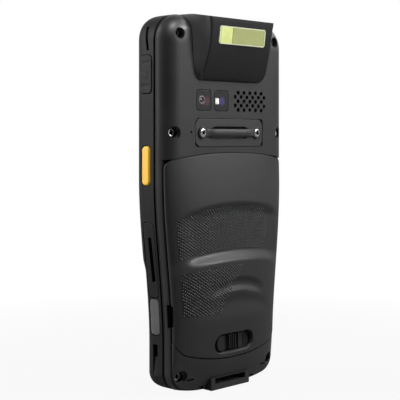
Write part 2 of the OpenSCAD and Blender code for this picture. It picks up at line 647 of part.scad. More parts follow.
module strap_screws() color([0.85, 0.85, 0.87]) for (x = [-0.5, 0.5])
  translate([x * strap_span, 0, strap_z]) rotate([-90, 0, 0]) difference() {
    union() {
      translate([0, 0, rear_d + 0.2]) cylinder(d = 3.9, h = 0.6);
      translate([0, 0, pan_y - 0.6]) cylinder(d = 1.6, h = rear_d + 1 - pan_y);
    }
    translate([0, 0, rear_d + 0.4]) cylinder(d = 1.5, h = 2, $fn = 6);
  }
module housing_screws() color([0.16, 0.16, 0.17]) for (s = screws) both_sides()
  translate([s[0], 0, s[1]]) rotate([-90, 0, 0]) difference() {
    union() {
      translate([0, 0, screw_seat(s)]) cylinder(d = screw_head_d, h = 1.7);
      translate([0, 0, -8]) cylinder(d = screw_d, h = screw_seat(s) + 8.5);
    }
    translate([0, 0, screw_seat(s) + 0.8]) cylinder(d = 1.9, h = 2, $fn = 6);
  }

// ---- battery cover, latch and battery ----

latch_floor = swell(latch_z) - 2.4;
latch_x = 2.45;
slider_l = latch_l - latch_travel - 3.4;
module latch_shape(grow = 0) at(0, latch_z) plate(latch_l + 2 * grow, latch_h + 2 * grow, 3 + grow, 5);
module cover_skin() {
  rows = 44;
  cols = 24;
  skin = [for (j = [0:rows]) [for (i = [0:cols]) let(
    u = sin(90 * (2 * i / cols - 1)),
    z_near = cover_z + (body_h - cover_drop - cover_z) * j / rows,
    x0 = u * (cover_hw(z_near) - 0.1),
    z = seam_bottom(x0) + (seam_top(x0) - gap - seam_bottom(x0)) * j / rows,
    w = cover_hw(z) - 0.1,
    x = u * w)
    [x, cover_y(x, z, w), z]]];
  grid_solid(skin, cover_edge_y);
}
module battery_cover() color(shell_grey) difference() {
  cover_skin();
  // pocket over the battery, hollow under the latch
  block(-tub_w / 2 + 0.6, tub_w / 2 - 0.6, 0, pack_y + pack_t + 0.4, pack_z - 1, pack_top + 3);
  block(-14, 14, 0, latch_floor - 1.2, pack_z - 12, pack_z);
  back_prism(20, 20 - latch_floor) latch_shape();
  back_prism(20, 20) at(latch_x - latch_travel / 2, latch_z) plate(slider_l - 4 + latch_travel, 3.4, 0.4, 2);
  // pry notch
  block(cover_hw(36) - 1.4, 45, 0, cover_edge_y + 0.9, 31.5, 40.5);
}
module battery_latch() color([0.12, 0.12, 0.13]) difference() {
  union() {
    back_prism(latch_floor + slip + 1.9, 1.9) at(latch_x, latch_z)
      plate(slider_l, latch_h - 1.6, 2.2, 4);
    back_prism(latch_floor + 0.3, 1.9) at(latch_x, latch_z) plate(slider_l - 4.2, 3.2, 0.3, 2);
    back_prism(latch_floor - 1.2 - slip, 1) at(latch_x, latch_z) plate(slider_l - 2, 6.4, 1, 3);
  }
  // grooves between the thumb pads and the ribs
  for (x = [-3.6, -2.3, -1, 0.3, 1.6]) back_prism(20, 20 - latch_floor - 1.5)
    at(latch_x + x, latch_z) square([0.6, 9], center = true);
  for (x = [-4.6, 2.8]) back_prism(20, 20 - latch_floor - 1.2)
    at(latch_x + x, latch_z) square([0.8, 9], center = true);
}
module battery_pack() color([0.16, 0.17, 0.2])
  back_prism(pack_y + pack_t, pack_t) at(0, (pack_z + pack_top) / 2)
    plate(pack_w, pack_top - pack_z, 2.5, 4);
module battery_contacts() color([0.8, 0.65, 0.25]) {
  block(-9, 9, pack_y, 2.4, pack_top + 0.3, pack_top + 2.6);
  for (i = [-2:2]) block(3.2 * i - 0.7, 3.2 * i + 0.7, 0.4, 1.8, pack_top + 0.05, pack_top + 1);
}

// ---- side keys, doors, ports and dock ----

flange_x = upper_hw - side_wall - 0.12;
module side_cap(z, rise, fw, fl) {
  side_prism(flange_x - 0.4, upper_hw + rise - flange_x + 0.4) children();
  side_prism(flange_x - 0.7, 0.7) at(side_y, z) plate(fw, fl, 1, 3);
}
module scan_key_right() color([0.93, 0.6, 0.1])
  side_cap(scan_z, 0.7, scan_w + 1.8, scan_l + 1.6) scan_key_shape();
module scan_key_left() color([0.93, 0.6, 0.1]) mirror([1, 0, 0])
  side_cap(scan_z, 0.7, scan_w + 1.8, scan_l + 1.6) scan_key_shape();
module volume_rocker() color(key_grey) difference() {
  union() {
    side_cap(rocker_z, 0.4, rocker_w + 1.8, 5) rocker_shape();
    side_prism(upper_hw, 0.7) at(side_y - 0.2, rocker_z) plate(3.4, 3.4, 0.8, 3);
  }
  // finger hollows above and below the nub
  for (s = [-1, 1]) back_prism(side_y + 2.4, 4.8) at(upper_hw + 6.4, rocker_z + 5.1 * s)
    polygon(disc(13, 36));
}
module side_switches() color([0.5, 0.38, 0.15]) {
  both_sides() {
    block(34.4, 34.8, side_y - 2.4, side_y + 2.4, scan_z - 8, scan_z + 9);
    block(34.6, 35.6, side_y - 1.5, side_y + 1.5, scan_z - 1.5, scan_z + 1.5);
  }
  block(34.4, 34.8, side_y - 2.4, side_y + 2.4, rocker_z - 9, rocker_z + 9);
  for (s = [-1, 1]) block(34.6, 35.6, side_y - 1.5, side_y + 1.5, rocker_z + 5.5 * s - 1.5, rocker_z + 5.5 * s + 1.5);
}
module card_door() color(shell_grey) difference() {
  lid() door_shape();
  // finger groove
  translate([half_w(59) - 0.4, side_y + 0.5, 59.4]) rotate([8, 0, 0]) rotate([0, 5.5, 0])
    block(0, 4, -0.5, 0.5, -9.6, 9.6);
}
module card_reader() color([0.7, 0.7, 0.72]) difference() {
  block(14, grip_hw - 1.6, board_y + board_t, card_y + 1.2, card_z - 12, card_z + 12);
  side_prism(17, 30) card_mouth();
}
module usb_cover() color([0.11, 0.11, 0.115]) {
  lid() plug_shape();
  side_prism(grip_hw - 2.2, 2.6) at(port_y, plug_z) plate(2.2, 7, 1, 4);
}
module usb_port() color([0.75, 0.75, 0.77]) difference() {
  side_prism(24.6, grip_hw - 25.2) port_mouth(0);
  side_prism(26, 20) at(port_y, plug_z) plate(2.5, 8.3, 1.2, 4);
}
module dock_contacts() color([0.8, 0.66, 0.28]) {
  block(-9, 9, 1.3, 2.4, 2.7, 2.5 + dock_slot_h);
  for (i = [-4:3]) block(2.1 * i + 0.6, 2.1 * i + 1.5, 2, 3.6, 3.3, 4.4);
}

// ---- which node ----
front_housing();
rear_housing();
touch_glass();
display_module();
earpiece();
mid_frame();
main_board();
keypad_board();
keypad_mat();
scan_hood();
scan_window();
scan_engine();
label_plate();
camera_window();
camera_module();
flash_window();
flash_led();
speaker();
strap_inlay();
strap_bar();
strap_screws();
housing_screws();
battery_cover();
battery_latch();
battery_pack();
battery_contacts();
scan_key_right();
scan_key_left();
volume_rocker();
side_switches();
card_door();
card_reader();
usb_cover();
usb_port();
dock_contacts();
key_scan();
key_left();
key_right();
for (row = [1:4], col = [1:3])
  number_key(row, col);
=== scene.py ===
"""Portable barcode data terminal: finishes and fine pieces around the packed part."""

import math
from types import SimpleNamespace

import bmesh
import bpy
from mathutils import Matrix, Vector


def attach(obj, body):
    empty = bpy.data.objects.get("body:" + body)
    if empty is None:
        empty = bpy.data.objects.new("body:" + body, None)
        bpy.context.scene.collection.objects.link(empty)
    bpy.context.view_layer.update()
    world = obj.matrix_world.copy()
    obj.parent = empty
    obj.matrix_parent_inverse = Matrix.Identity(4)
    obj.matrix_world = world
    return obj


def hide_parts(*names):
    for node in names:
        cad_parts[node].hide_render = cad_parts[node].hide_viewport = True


bl_info = {
    "name": "Barcode data terminal",
    "version": (1, 0, 0),
    "blender": (4, 5, 0),
    "location": "View3D > Sidebar > Terminal",
    "description": "Builds the shells, keys, lids, screws and finishes of a handheld data terminal",
    "category": "Object",
}

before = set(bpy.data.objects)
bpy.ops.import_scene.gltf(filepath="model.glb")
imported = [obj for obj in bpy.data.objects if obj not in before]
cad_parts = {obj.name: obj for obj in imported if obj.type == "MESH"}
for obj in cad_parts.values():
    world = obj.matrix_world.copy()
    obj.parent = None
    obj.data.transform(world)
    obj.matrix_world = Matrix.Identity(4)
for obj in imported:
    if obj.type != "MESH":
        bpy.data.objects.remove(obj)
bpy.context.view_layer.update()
MM = 0.001
HOUSING = "housing"
WHITE = (1, 1, 1, 1)

# Fixed places and sizes, in millimetres
CREST_Z = 60.0  # crest of the battery cover at its middle
LABEL_RISE = 19.8  # label's middle above the hood's foot
SCAN_DROP = 66.5  # scan keys below the top
ROCKER_DROP = 26.6  # rocker below the top
PACK_DROP = 8  # top of the battery pack below the cover's seam
PAN_DROP = 3.4  # floor of the dish below the strap bar
STRAP_X = 17.7  # strap screws from the middle
SLANT = 0.17  # lean of the hood's top per millimetre of depth
SLANT_Y = 7.2  # depth at which that lean is nothing
KEY_PITCH = (17.6, 9.2)  # front keys, across and up
KEY_FOOT = 11.8  # lowest row of front keys
KEY_HEAD = 48.4  # top row of front keys
DISPLAY_FOOT = 61  # lower edge of the display glass
CARD_LID = (7.2, 33.0, 59.1)  # width, length and height above the base
PORT_LID = (6.6, 15.8, 34.0)
CAP_TURNS = 6  # sides of a grip pip


# ---------------------------------------------------------------- settings


def length(name, millimetres, text):
    return bpy.props.FloatProperty(name=name, description=text, default=millimetres * MM,
                                   min=-1.0, max=1.0, unit="LENGTH", precision=4)


def colour(name, value, text):
    return bpy.props.FloatVectorProperty(name=name, description=text, default=value,
                                         size=3, min=0.0, max=1.0, subtype="COLOR")


def lamp(name, watts, text):
    return bpy.props.FloatProperty(name=name, description=text, default=watts, min=0.0,
                                   unit="POWER")


def share(name, value, text, most=1.0):
    return bpy.props.FloatProperty(name=name, description=text, default=value, min=0.0,
                                   max=most, subtype="FACTOR")


class TerminalBody(bpy.types.PropertyGroup):
    """Sizes of the two housings."""

    height: length("Height", 167, "Overall height of the body")
    half_width: length("Half width", 39, "Half width of the display end")
    grip_half_width: length("Half width of grip", 33.8, "Half width of the grip end")
    front_depth: length("Front depth", 15.6, "Parting plane to the display side")
    keypad_depth: length("Keypad depth", 13.8, "Parting plane to the keypad side")
    rear_depth: length("Rear depth", 7, "Parting plane to the flat upper back")
    wall: length("Wall", 1.8, "Wall thickness of the housings")
    top_radius: length("Top corner radius", 12, "Corner radius at the top")
    bottom_radius: length("Bottom corner radius", 6.5, "Corner radius at the bottom")
    rear_radius: length("Rear edge radius", 8, "Edge radius of the rear housing")
    front_radius: length("Front edge radius", 7, "Edge radius of the front housing")
    gap: length("Gap", 0.25, "Gap round a cap or a cover in its opening")


class TerminalCover(bpy.types.PropertyGroup):
    """Sizes of the battery cover and its latch."""

    drop: length("Seam drop", 60.8, "Top seam below the top of the body")
    foot: length("Bottom seam", 14.1, "Bottom seam above the base")
    top_arc: length("Top seam radius", 230, "Radius of the top seam's arc")
    bottom_arc: length("Bottom seam radius", 100, "Radius of the bottom seam's arc")
    depth: length("Depth", 11.9, "Fullest point behind the parting plane")
    hollow: length("Hollow depth", 2.5, "Depth of the finger hollows")
    hollow_arc: length("Hollow radius", 130, "Radius of the arcs that the hollows follow")
    latch_height: length("Latch height", 21, "Height of the latch above the base")
    latch_length: length("Latch recess length", 24.6, "Length of the latch recess")
    latch_width: length("Latch recess height", 8.4, "Height of the latch recess")
    latch_place: length("Latch place", 2.45, "Sideways place of the slider at rest")
    pip_pitch_x: length("Pip pitch across", 1.62, "Distance between grip pips in a row")
    pip_pitch_z: length("Pip row pitch", 0.66, "Distance between rows of grip pips")
    pip_radius: length("Pip radius", 0.44, "Radius of a grip pip")
    pip_height: length("Pip height", 0.36, "Height of a grip pip")


class TerminalHood(bpy.types.PropertyGroup):
    """Sizes of the scan hood and its label."""

    height: length("Height", 28.8, "Height of the scan hood")
    width: length("Width", 40.4, "Width of the hood's rear face")
    depth: length("Depth", 15.4, "Lip behind the parting plane")
    label_width: length("Label width", 30, "Width of the blank label")
    label_height: length("Label height", 8, "Height of the blank label")


class TerminalColours(bpy.types.PropertyGroup):
    """Base colours of the finishes."""

    shell: colour("Shell", (0.022, 0.022, 0.0225), "Charcoal housing plastic")
    # Darker than the shell: painted shade, which keeps the front housing's sides at their tone
    # under the strong left lamp.
    side: colour("Side", (0.015, 0.015, 0.0155), "Front housing's sides")
    cover: colour("Battery cover", (0.022, 0.022, 0.0225), "Battery cover plastic")
    hood: colour("Hood", (0.0215, 0.0215, 0.022), "Scan hood plastic")
    key: colour("Keys", (0.040, 0.040, 0.041), "Keypad and rocker")
    scan_key: colour("Scan keys", (1.0, 0.56, 0.045), "Yellow orange scan keys")
    label: colour("Label", (0.41, 0.44, 0.19), "Main panel of the label")
    label_bright: colour("Label end", (0.78, 0.86, 0.33), "Bright panel of the label")
    label_edge: colour("Label border", (0.70, 0.73, 0.52), "Pale border of the label")
    steel: colour("Steel", (0.78, 0.78, 0.79), "Bright screw heads")
    legend: colour("Legends", (0.80, 0.80, 0.78), "Numbers on the keys")
    floor: colour("Floor", (0.25, 0.25, 0.25), "Studio floor")


class TerminalStudio(bpy.types.PropertyGroup):
    """Camera and lamps."""

    camera: bpy.props.FloatVectorProperty(name="Camera", description="Place of the camera",
                                          default=(0.340, 0.3277, 0.1130), size=3,
                                          subtype="TRANSLATION", unit="LENGTH")
    turn: bpy.props.FloatProperty(name="Turn", description="Camera's turn about the vertical",
                                  default=math.radians(135), subtype="ANGLE")
    lens: bpy.props.FloatProperty(name="Lens", description="Focal length in millimetres",
                                  default=92.75)
    rise: bpy.props.FloatProperty(name="Rise", description="Vertical shift of the frame",
                                  default=-0.157)
    right_lamp: lamp("Right lamp", 1.1, "Soft lamp at the camera's right")
    left_lamp: lamp("Left lamp", 10.0, "Tall soft lamp at the camera's left")
    crest_lamp: lamp("Crest lamp", 1.8, "High lamp behind the right side")
    top_lamp: lamp("Top lamp", 2.6, "Small lamp overhead at the right")
    ambient: share("Ambient", 0.03, "Strength of the light from all round", 4.0)


SETTINGS = {
    "terminal_body": TerminalBody,
    "terminal_cover": TerminalCover,
    "terminal_hood": TerminalHood,
    "terminal_colours": TerminalColours,
    "terminal_studio": TerminalStudio,
}


def sizes(name):
    """A settings group's lengths in millimetres, under the names of its properties."""
    group = getattr(bpy.context.scene, name)
    return SimpleNamespace(**{key: getattr(group, key) / MM
                              for key in SETTINGS[name].__annotations__})


# ---------------------------------------------------------------- shader expressions


class Field:
    """A socket of a finish's node tree that takes Python's arithmetic."""

    def __init__(self, paint, socket):
        self.paint = paint
        self.socket = socket

    def _math(self, operation, *values):
        inputs = {index: value for index, value in enumerate(values)}
        return self.paint.node("ShaderNodeMath", {"operation": operation}, inputs)

    def __add__(self, other):
        return self._math("ADD", self, other)

    def __sub__(self, other):
        return self._math("SUBTRACT", self, other)

    def __rsub__(self, other):
        return self._math("SUBTRACT", other, self)

    def __mul__(self, other):
        return self._math("MULTIPLY", self, other)

    def __truediv__(self, other):
        return self._math("DIVIDE", self, other)

    def __lt__(self, other):
        return self._math("LESS_THAN", self, other)

    def __gt__(self, other):
        return self._math("GREATER_THAN", self, other)

    def __abs__(self):
        return self._math("ABSOLUTE", self)

    def most(self, other):
        return self._math("MAXIMUM", self, other)

    __radd__ = __add__
    __rmul__ = __mul__


class Nodes:
    """A node tree and the one method that adds nodes to it."""

    def __init__(self, tree):
        self.tree = tree

    def node(self, kind, settings=None, inputs=None, output=0):
        """Adds a node; an input's value is a Field, which is linked, or a constant."""
        made = self.tree.nodes.new(kind)
        for key, value in (settings or {}).items():
            setattr(made, key, value)
        for key, value in (inputs or {}).items():
            if isinstance(value, Field):
                self.tree.links.new(value.socket, made.inputs[key])
            else:
                made.inputs[key].default_value = value
        return None if output is None else Field(self, made.outputs[output])

    def spread(self, value, low, high):
        """value from low to high brought to 0 to 1, smoothly."""
        return self.node("ShaderNodeMapRange", {"interpolation_type": "SMOOTHSTEP"},
                         {"Value": value, "From Min": low, "From Max": high})

    def ray(self, kind):
        """1 on rays of one kind, else 0."""
        return self.node("ShaderNodeLightPath", output=f"Is {kind} Ray")

    def mix_shader(self, amount, first, second):
        return self.node("ShaderNodeMixShader", inputs={0: amount, 1: first, 2: second})


class Paint(Nodes):
    """One finish: a material and the methods that add its nodes."""

    def __init__(self, name, **constants):
        self.material = bpy.data.materials.new(name)
        self.material.use_nodes = True
        super().__init__(self.material.node_tree)
        self.shader = self.tree.nodes["Principled BSDF"]
        for key, value in constants.items():
            self.set(key.replace("_", " ").title().replace("Ior", "IOR"), value)

    def set(self, name, value):
        """Links a Field to a socket of the shader, or sets its constant."""
        if isinstance(value, Field):
            self.tree.links.new(value.socket, self.shader.inputs[name])
        else:
            self.shader.inputs[name].default_value = (*value,
                                                      1.0) if name == "Base Color" else value

    def place(self):
        """X, Y and Z of the surface, in metres."""
        point = self.node("ShaderNodeTexCoord", output="Object")
        return [self.node("ShaderNodeSeparateXYZ", inputs={0: point}, output=axis)
                for axis in range(3)]

    def noise(self, scale, detail=2.0, roughness=0.5):
        point = self.node("ShaderNodeTexCoord", output="Object")
        return self.node("ShaderNodeTexNoise", inputs={"Vector": point, "Scale": scale,
                                                       "Detail": detail, "Roughness": roughness})

    def mix(self, amount, first, second):
        def tone(value):
            return value if isinstance(value, Field) else (*value, 1.0)
        return self.node("ShaderNodeMix", {"data_type": "RGBA"},
                         {0: amount, 6: tone(first), 7: tone(second)}, output=2)

    def bump(self, height, distance, strength):
        return self.node("ShaderNodeBump", inputs={"Height": height, "Distance": distance,
                                                   "Strength": strength})

    def marked(self, name):
        """The point attribute that mark() sets."""
        return self.node("ShaderNodeAttribute", {"attribute_name": name}, output=2)


def tones():
    return bpy.context.scene.terminal_colours


def shade(base, factor):
    return [min(1.0, v * factor) for v in base]


def moulded(name, base, roughness=0.48, specular=0.16, grain=0.00004, grain_scale=2600, wear=0.10,
            polish=None):
    """Moulded plastic with spark grain and slight cloudiness; points marked hollow are painted near
    black, as painted shade.

    polish is (across, up, reach) in millimetres: glossier round that place on both sides.
    """
    paint = Paint(name, specular_ior_level=specular)
    cloud = paint.noise(55, 3.0)
    grains = paint.noise(grain_scale, 2.0, 0.6)
    tone = paint.mix(paint.spread(cloud, 0.3, 0.75), shade(base, 1 - wear), shade(base, 1 + wear))
    speck = paint.mix(paint.spread(grains, 0.55, 0.8) * 0.25, tone, shade(base, 1.5))
    # Painted shade: points marked hollow (grooves, slots, notches, slits) are drawn near black.
    paint.set("Base Color", paint.mix(paint.marked("hollow"), speck, (0.001, 0.001, 0.001)))
    if polish:
        px, pz, reach = (v * MM for v in polish)
        x, _, z = paint.place()
        dx, dz = abs(x) - px, z - pz
        paint.set("Coat Weight", paint.spread(dx * dx + dz * dz, reach * reach, 0.0))
        paint.set("Coat Roughness", 0.42)
    paint.set("Roughness", roughness - 0.05 + cloud * 0.08 + grains * 0.04)
    paint.set("Normal", paint.bump(grains, grain, 0.35))
    return paint.material


def finish_hood():
    """Hood: a dark face between flanks painted lighter. The flanks lie turned from the lamps; their
    lighter colour is painted light.
    """
    c = tones()
    paint = Paint("hood_plastic", specular_ior_level=0.12)
    grains = paint.noise(2600, 2.0, 0.6)
    cloud = paint.noise(60, 3.0)
    face = paint.spread(paint.marked("flank"), 0.55, 0.45)
    # Painted light: the flanks take five times the shell's colour, since the lamps leave them dark.
    tone = paint.mix(face, shade(c.shell, 5.0), c.hood)
    tone = paint.mix(paint.spread(cloud, 0.3, 0.75) * 0.2, tone, (0.004, 0.004, 0.004))
    paint.set("Base Color", tone)
    paint.set("Roughness", 0.42 + cloud * 0.08 + grains * 0.04)
    paint.set("Normal", paint.bump(grains, 0.00004, 0.35))
    return paint.material


def finish_cover():
    """Battery cover: smoother on the crest, with a painted highlight on the crest and painted shade
    between the grip pips and in the latch recess.
    """
    c = sizes("terminal_cover")
    paint = Paint("cover_plastic", specular_ior_level=0.3)
    base = tones().cover
    cloud = paint.noise(48, 3.0)
    grains = paint.noise(2600, 2.0, 0.6)
    x, _, z = paint.place()
    arc = z + x * x / (2 * c.hollow_arc * MM)
    crest = paint.spread(abs(arc - CREST_Z * MM), 0.0036, 0.0018)
    tone = paint.mix(paint.spread(cloud, 0.3, 0.75), shade(base, 0.9), shade(base, 1.1))
    # Painted highlight: the crest's colour is drawn up to 40% of the way towards 1.7 times the
    # cover's.
    tone = paint.mix(crest * 0.4, tone, shade(base, 1.7))
    # Painted shade: the ground between the grip pips is drawn to 0.3 times the cover's colour.
    tone = paint.mix(paint.marked("sunk"), tone, shade(base, 0.3))
    # Painted shade: the latch recess, marked hollow, is drawn near black.
    paint.set("Base Color", paint.mix(paint.marked("hollow"), tone, (0.002, 0.002, 0.002)))
    paint.set("Roughness", 0.5 + cloud * 0.08 - crest * 0.14)
    paint.set("Normal", paint.bump(grains, 0.00004, 0.35))
    return paint.material


def finish_label():
    """Blank film label: a bright end panel, a darker main panel and a pale border."""
    b, h, c = sizes("terminal_body"), sizes("terminal_hood"), tones()
    paint = Paint("label_film", roughness=0.42, specular_ior_level=0.2)
    x, _, z = paint.place()
    across = abs(x)
    up = abs(z - (b.height - h.height + LABEL_RISE) * MM)
    edge = ((h.label_width / 2 - 0.55) * MM < across).most((h.label_height / 2 - 0.5) * MM < up)
    bright = x > 0.0068
    panel = paint.mix(bright, c.label, c.label_bright)
    line = (abs(x - 0.0066) < 0.00022).most(abs(across - 0.0140) < 0.00012)
    panel = paint.mix(line * 0.6, panel, (0.10, 0.12, 0.03))
    film = paint.noise(240, 2.0)
    panel = paint.mix(paint.spread(film, 0.35, 0.7) * 0.18, panel, (0.30, 0.34, 0.08))
    paint.set("Base Color", paint.mix(edge, panel, c.label_edge))
    paint.set("Normal", paint.bump(film, 0.00002, 0.4))
    return paint.material


def finish_metal(name, base, roughness, scale=900.0):
    paint = Paint(name, metallic=1.0)
    brush = paint.noise(scale, 3.0)
    # Painted shade: the drive sockets, marked hollow, are drawn near black and made rougher.
    hollow = paint.marked("hollow")
    tone = paint.mix(brush, shade(base, 0.88), base)
    paint.set("Base Color", paint.mix(hollow, tone, (0.02, 0.02, 0.02)))
    paint.set("Roughness", roughness + brush * 0.12 + hollow * 0.4)
    paint.set("Normal", paint.bump(brush, 0.00002, 0.3))
    return paint.material


def finish_gloss(name, base, roughness=0.12, coat=0.5):
    """Polished dark plastic or glass with a faint haze of fingerprints."""
    paint = Paint(name, coat_weight=coat, coat_roughness=0.08, specular_ior_level=0.3)
    haze = paint.noise(120, 4.0)
    paint.set("Base Color", paint.mix(haze, base, [min(1, v * 1.35 + 0.002) for v in base]))
    paint.set("Roughness", roughness + paint.spread(haze, 0.4, 0.8) * 0.08)
    return paint.material


def finish_lens():
    """Camera glass: dark, with a painted reflection in the coating's colour off centre."""
    paint = Paint("lens_glass", coat_weight=1.0, coat_roughness=0.02)
    x, _, z = paint.place()
    dx, dz = x - 15.8 * MM, z - 128.8 * MM
    # Painted reflection: a spot in the coating's colour beside the lens's middle.
    coating_reflection = paint.spread(dx * dx + dz * dz, (3 * MM) ** 2, (1 * MM) ** 2)
    paint.set("Base Color", paint.mix(coating_reflection, (0.012, 0.010, 0.012), (0.10, 0.035, 0.045)))
    paint.set("Roughness", 0.10 + coating_reflection * 0.1)
    return paint.material


def finish_window(name, centre, coating_reflection, place, radius):
    """Polished window with a painted reflection: a patch in the coating's colour."""
    paint = Paint(name, specular_ior_level=0.16)
    x, _, z = paint.place()
    dx, dz = x - place[0] * MM, z - place[1] * MM
    # Painted reflection: the coating's colour is laid on round the given place.
    reflection_patch = paint.spread(dx * dx + dz * dz, (radius * MM) ** 2, (radius * 0.35 * MM) ** 2)
    haze = paint.noise(200, 3.0)
    paint.set("Base Color", paint.mix(reflection_patch, centre, coating_reflection))
    paint.set("Roughness", 0.3 + haze * 0.08)
    return paint.material


def finish_display():
    paint = Paint("display_glass", coat_weight=1.0, coat_roughness=0.03)
    x, _, z = paint.place()
    inside = (abs(x) < 0.0282) * (abs(z - 0.1108) < 0.0455)
    haze = paint.noise(90, 4.0)
    paint.set("Base Color", paint.mix(inside, (0.004, 0.004, 0.004), (0.011, 0.012, 0.014)))
    paint.set("Roughness", 0.05 + paint.spread(haze, 0.45, 0.85) * 0.07)
    return paint.material


def finish_board():
    paint = Paint("board_mask", coat_weight=0.3, coat_roughness=0.2)
    traces = paint.noise(700, 4.0, 0.7)
    paint.set("Base Color", paint.mix(paint.spread(traces, 0.5, 0.56), (0.01, 0.10, 0.05),
                                      (0.02, 0.19, 0.10)))
    paint.set("Roughness", 0.35 + traces * 0.1)
    return paint.material


def finish_battery():
    paint = Paint("battery_wrap", specular_ior_level=0.4)
    crinkle = paint.noise(150, 4.0)
    paint.set("Base Color", paint.mix(crinkle, (0.020, 0.022, 0.030), (0.038, 0.041, 0.052)))
    paint.set("Roughness", 0.36 + crinkle * 0.15)
    paint.set("Normal", paint.bump(crinkle, 0.0001, 0.4))
    return paint.material


def finish_gauze():
    paint = Paint("speaker_gauze", specular_ior_level=0.2)
    x, _, z = paint.place()
    weave = paint.node("ShaderNodeMath", {"operation": "SINE"}, {0: x * 16000.0})
    weft = paint.node("ShaderNodeMath", {"operation": "SINE"}, {0: z * 16000.0})
    thread = paint.spread(weave * weft, -0.6, 0.6)
    paint.set("Base Color", paint.mix(thread, (0.002, 0.002, 0.002), (0.008, 0.008, 0.008)))
    paint.set("Roughness", 0.8 - thread * 0.1)
    return paint.material


FINISHES = {
    "shell": lambda: moulded("shell_plastic", tones().shell, specular=0.32,
                             polish=(31.5, 161.0, 8.0)),
    # The sides' colour, darker than the shell's, is painted shade.
    "side": lambda: moulded("side_plastic", tones().side, specular=0.08),
    "cover": finish_cover,
    "hood": finish_hood,
    "keys": lambda: moulded("key_plastic", tones().key, 0.5, 0.2),
    # Painted light: the pips take 3.2 times the colour of the cover they are moulded from.
    "pips": lambda: moulded("pip_plastic", shade(tones().cover, 3.2), 0.45, 0.5),
    "rubber": lambda: moulded("lid_rubber", shade(tones().key, 2.2), 0.66, 0.2, 0.00008, 1500,
                              wear=0.2),
    "scan_key": lambda: moulded("scan_key_plastic", tones().scan_key, 0.42, 0.25, wear=0.05),
    "label": finish_label,
    "steel": lambda: finish_metal("bright_steel", tones().steel, 0.18),
    "zinc": lambda: finish_metal("zinc_plate", (0.75, 0.75, 0.76), 0.42),
    "sheet": lambda: finish_metal("pressed_sheet", (0.55, 0.56, 0.58), 0.35, 400),
    "gold": lambda: finish_metal("gold_plate", (0.83, 0.60, 0.22), 0.2),
    "ring": lambda: moulded("lens_ring", (0.17, 0.16, 0.165), 0.4, 0.2),
    "black": lambda: moulded("bar_black", (0.030, 0.030, 0.030), 0.48, 0.3),
    "satin": lambda: moulded("black_satin", (0.020, 0.020, 0.021), 0.46, 0.14),
    "inlay": lambda: moulded("inlay_plastic", (0.020, 0.020, 0.0205), 0.46, 0.45),
    "scan_glass": lambda: finish_gloss("scan_filter", (0.05, 0.003, 0.005), 0.08, 0.8),
    "lens": finish_lens,
    # Both windows carry painted reflections: patches in the coating's colour.
    "camera_window": lambda: finish_window("camera_window_glass", (0.030, 0.030, 0.031),
                                           (0.085, 0.045, 0.050), (15.0, 128.9), 2.6),
    "flash_window": lambda: finish_window("flash_window_glass", (0.030, 0.030, 0.031),
                                          (0.060, 0.055, 0.160), (5.4, 129.2), 2.4),
    "led": lambda: finish_gloss("led_diffuser", (0.92, 0.92, 0.90), 0.3, 0.4),
    "display": finish_display,
    "board": finish_board,
    "battery": finish_battery,
    "gauze": finish_gauze,
    "mat": lambda: moulded("dome_mat", (0.42, 0.42, 0.40), 0.6, 0.3, wear=0.05),
    "flex": lambda: finish_gloss("flex_film", (0.30, 0.15, 0.03), 0.3, 0.3),
    "legend": lambda: moulded("legend_ink", tones().legend, 0.5, 0.3, wear=0.03),
}
_finishes = {}


def finish(name):
    if name not in _finishes:
        _finishes[name] = FINISHES[name]()
    return _finishes[name]


# ---------------------------------------------------------------- shapes in millimetres


def smooth(t):
    c = min(max(t, 0.0), 1.0)
    return c * c * (3 - 2 * c)


def span(first, last, count):
    """count + 1 evenly spaced values."""
    return [first + (last - first) * i / count for i in range(count + 1)]


def rounded(w, h, r, n=8):
    """Rounded rectangle, anticlockwise, as a list of points."""
    points = []
    for quarter in range(4):
        sx = 1 if quarter in (0, 3) else -1
        sy = 1 if quarter < 2 else -1
        for i in range(n + 1):
            a = math.radians(90 * quarter + 90 * i / n)
            points.append((sx * (w / 2 - r) + r * math.cos(a), sy * (h / 2 - r) + r * math.sin(a)))
    return points


def disc(d, n=32):
    return [(d / 2 * math.cos(2 * math.pi * i / n), d / 2 * math.sin(2 * math.pi * i / n))
            for i in range(n)]


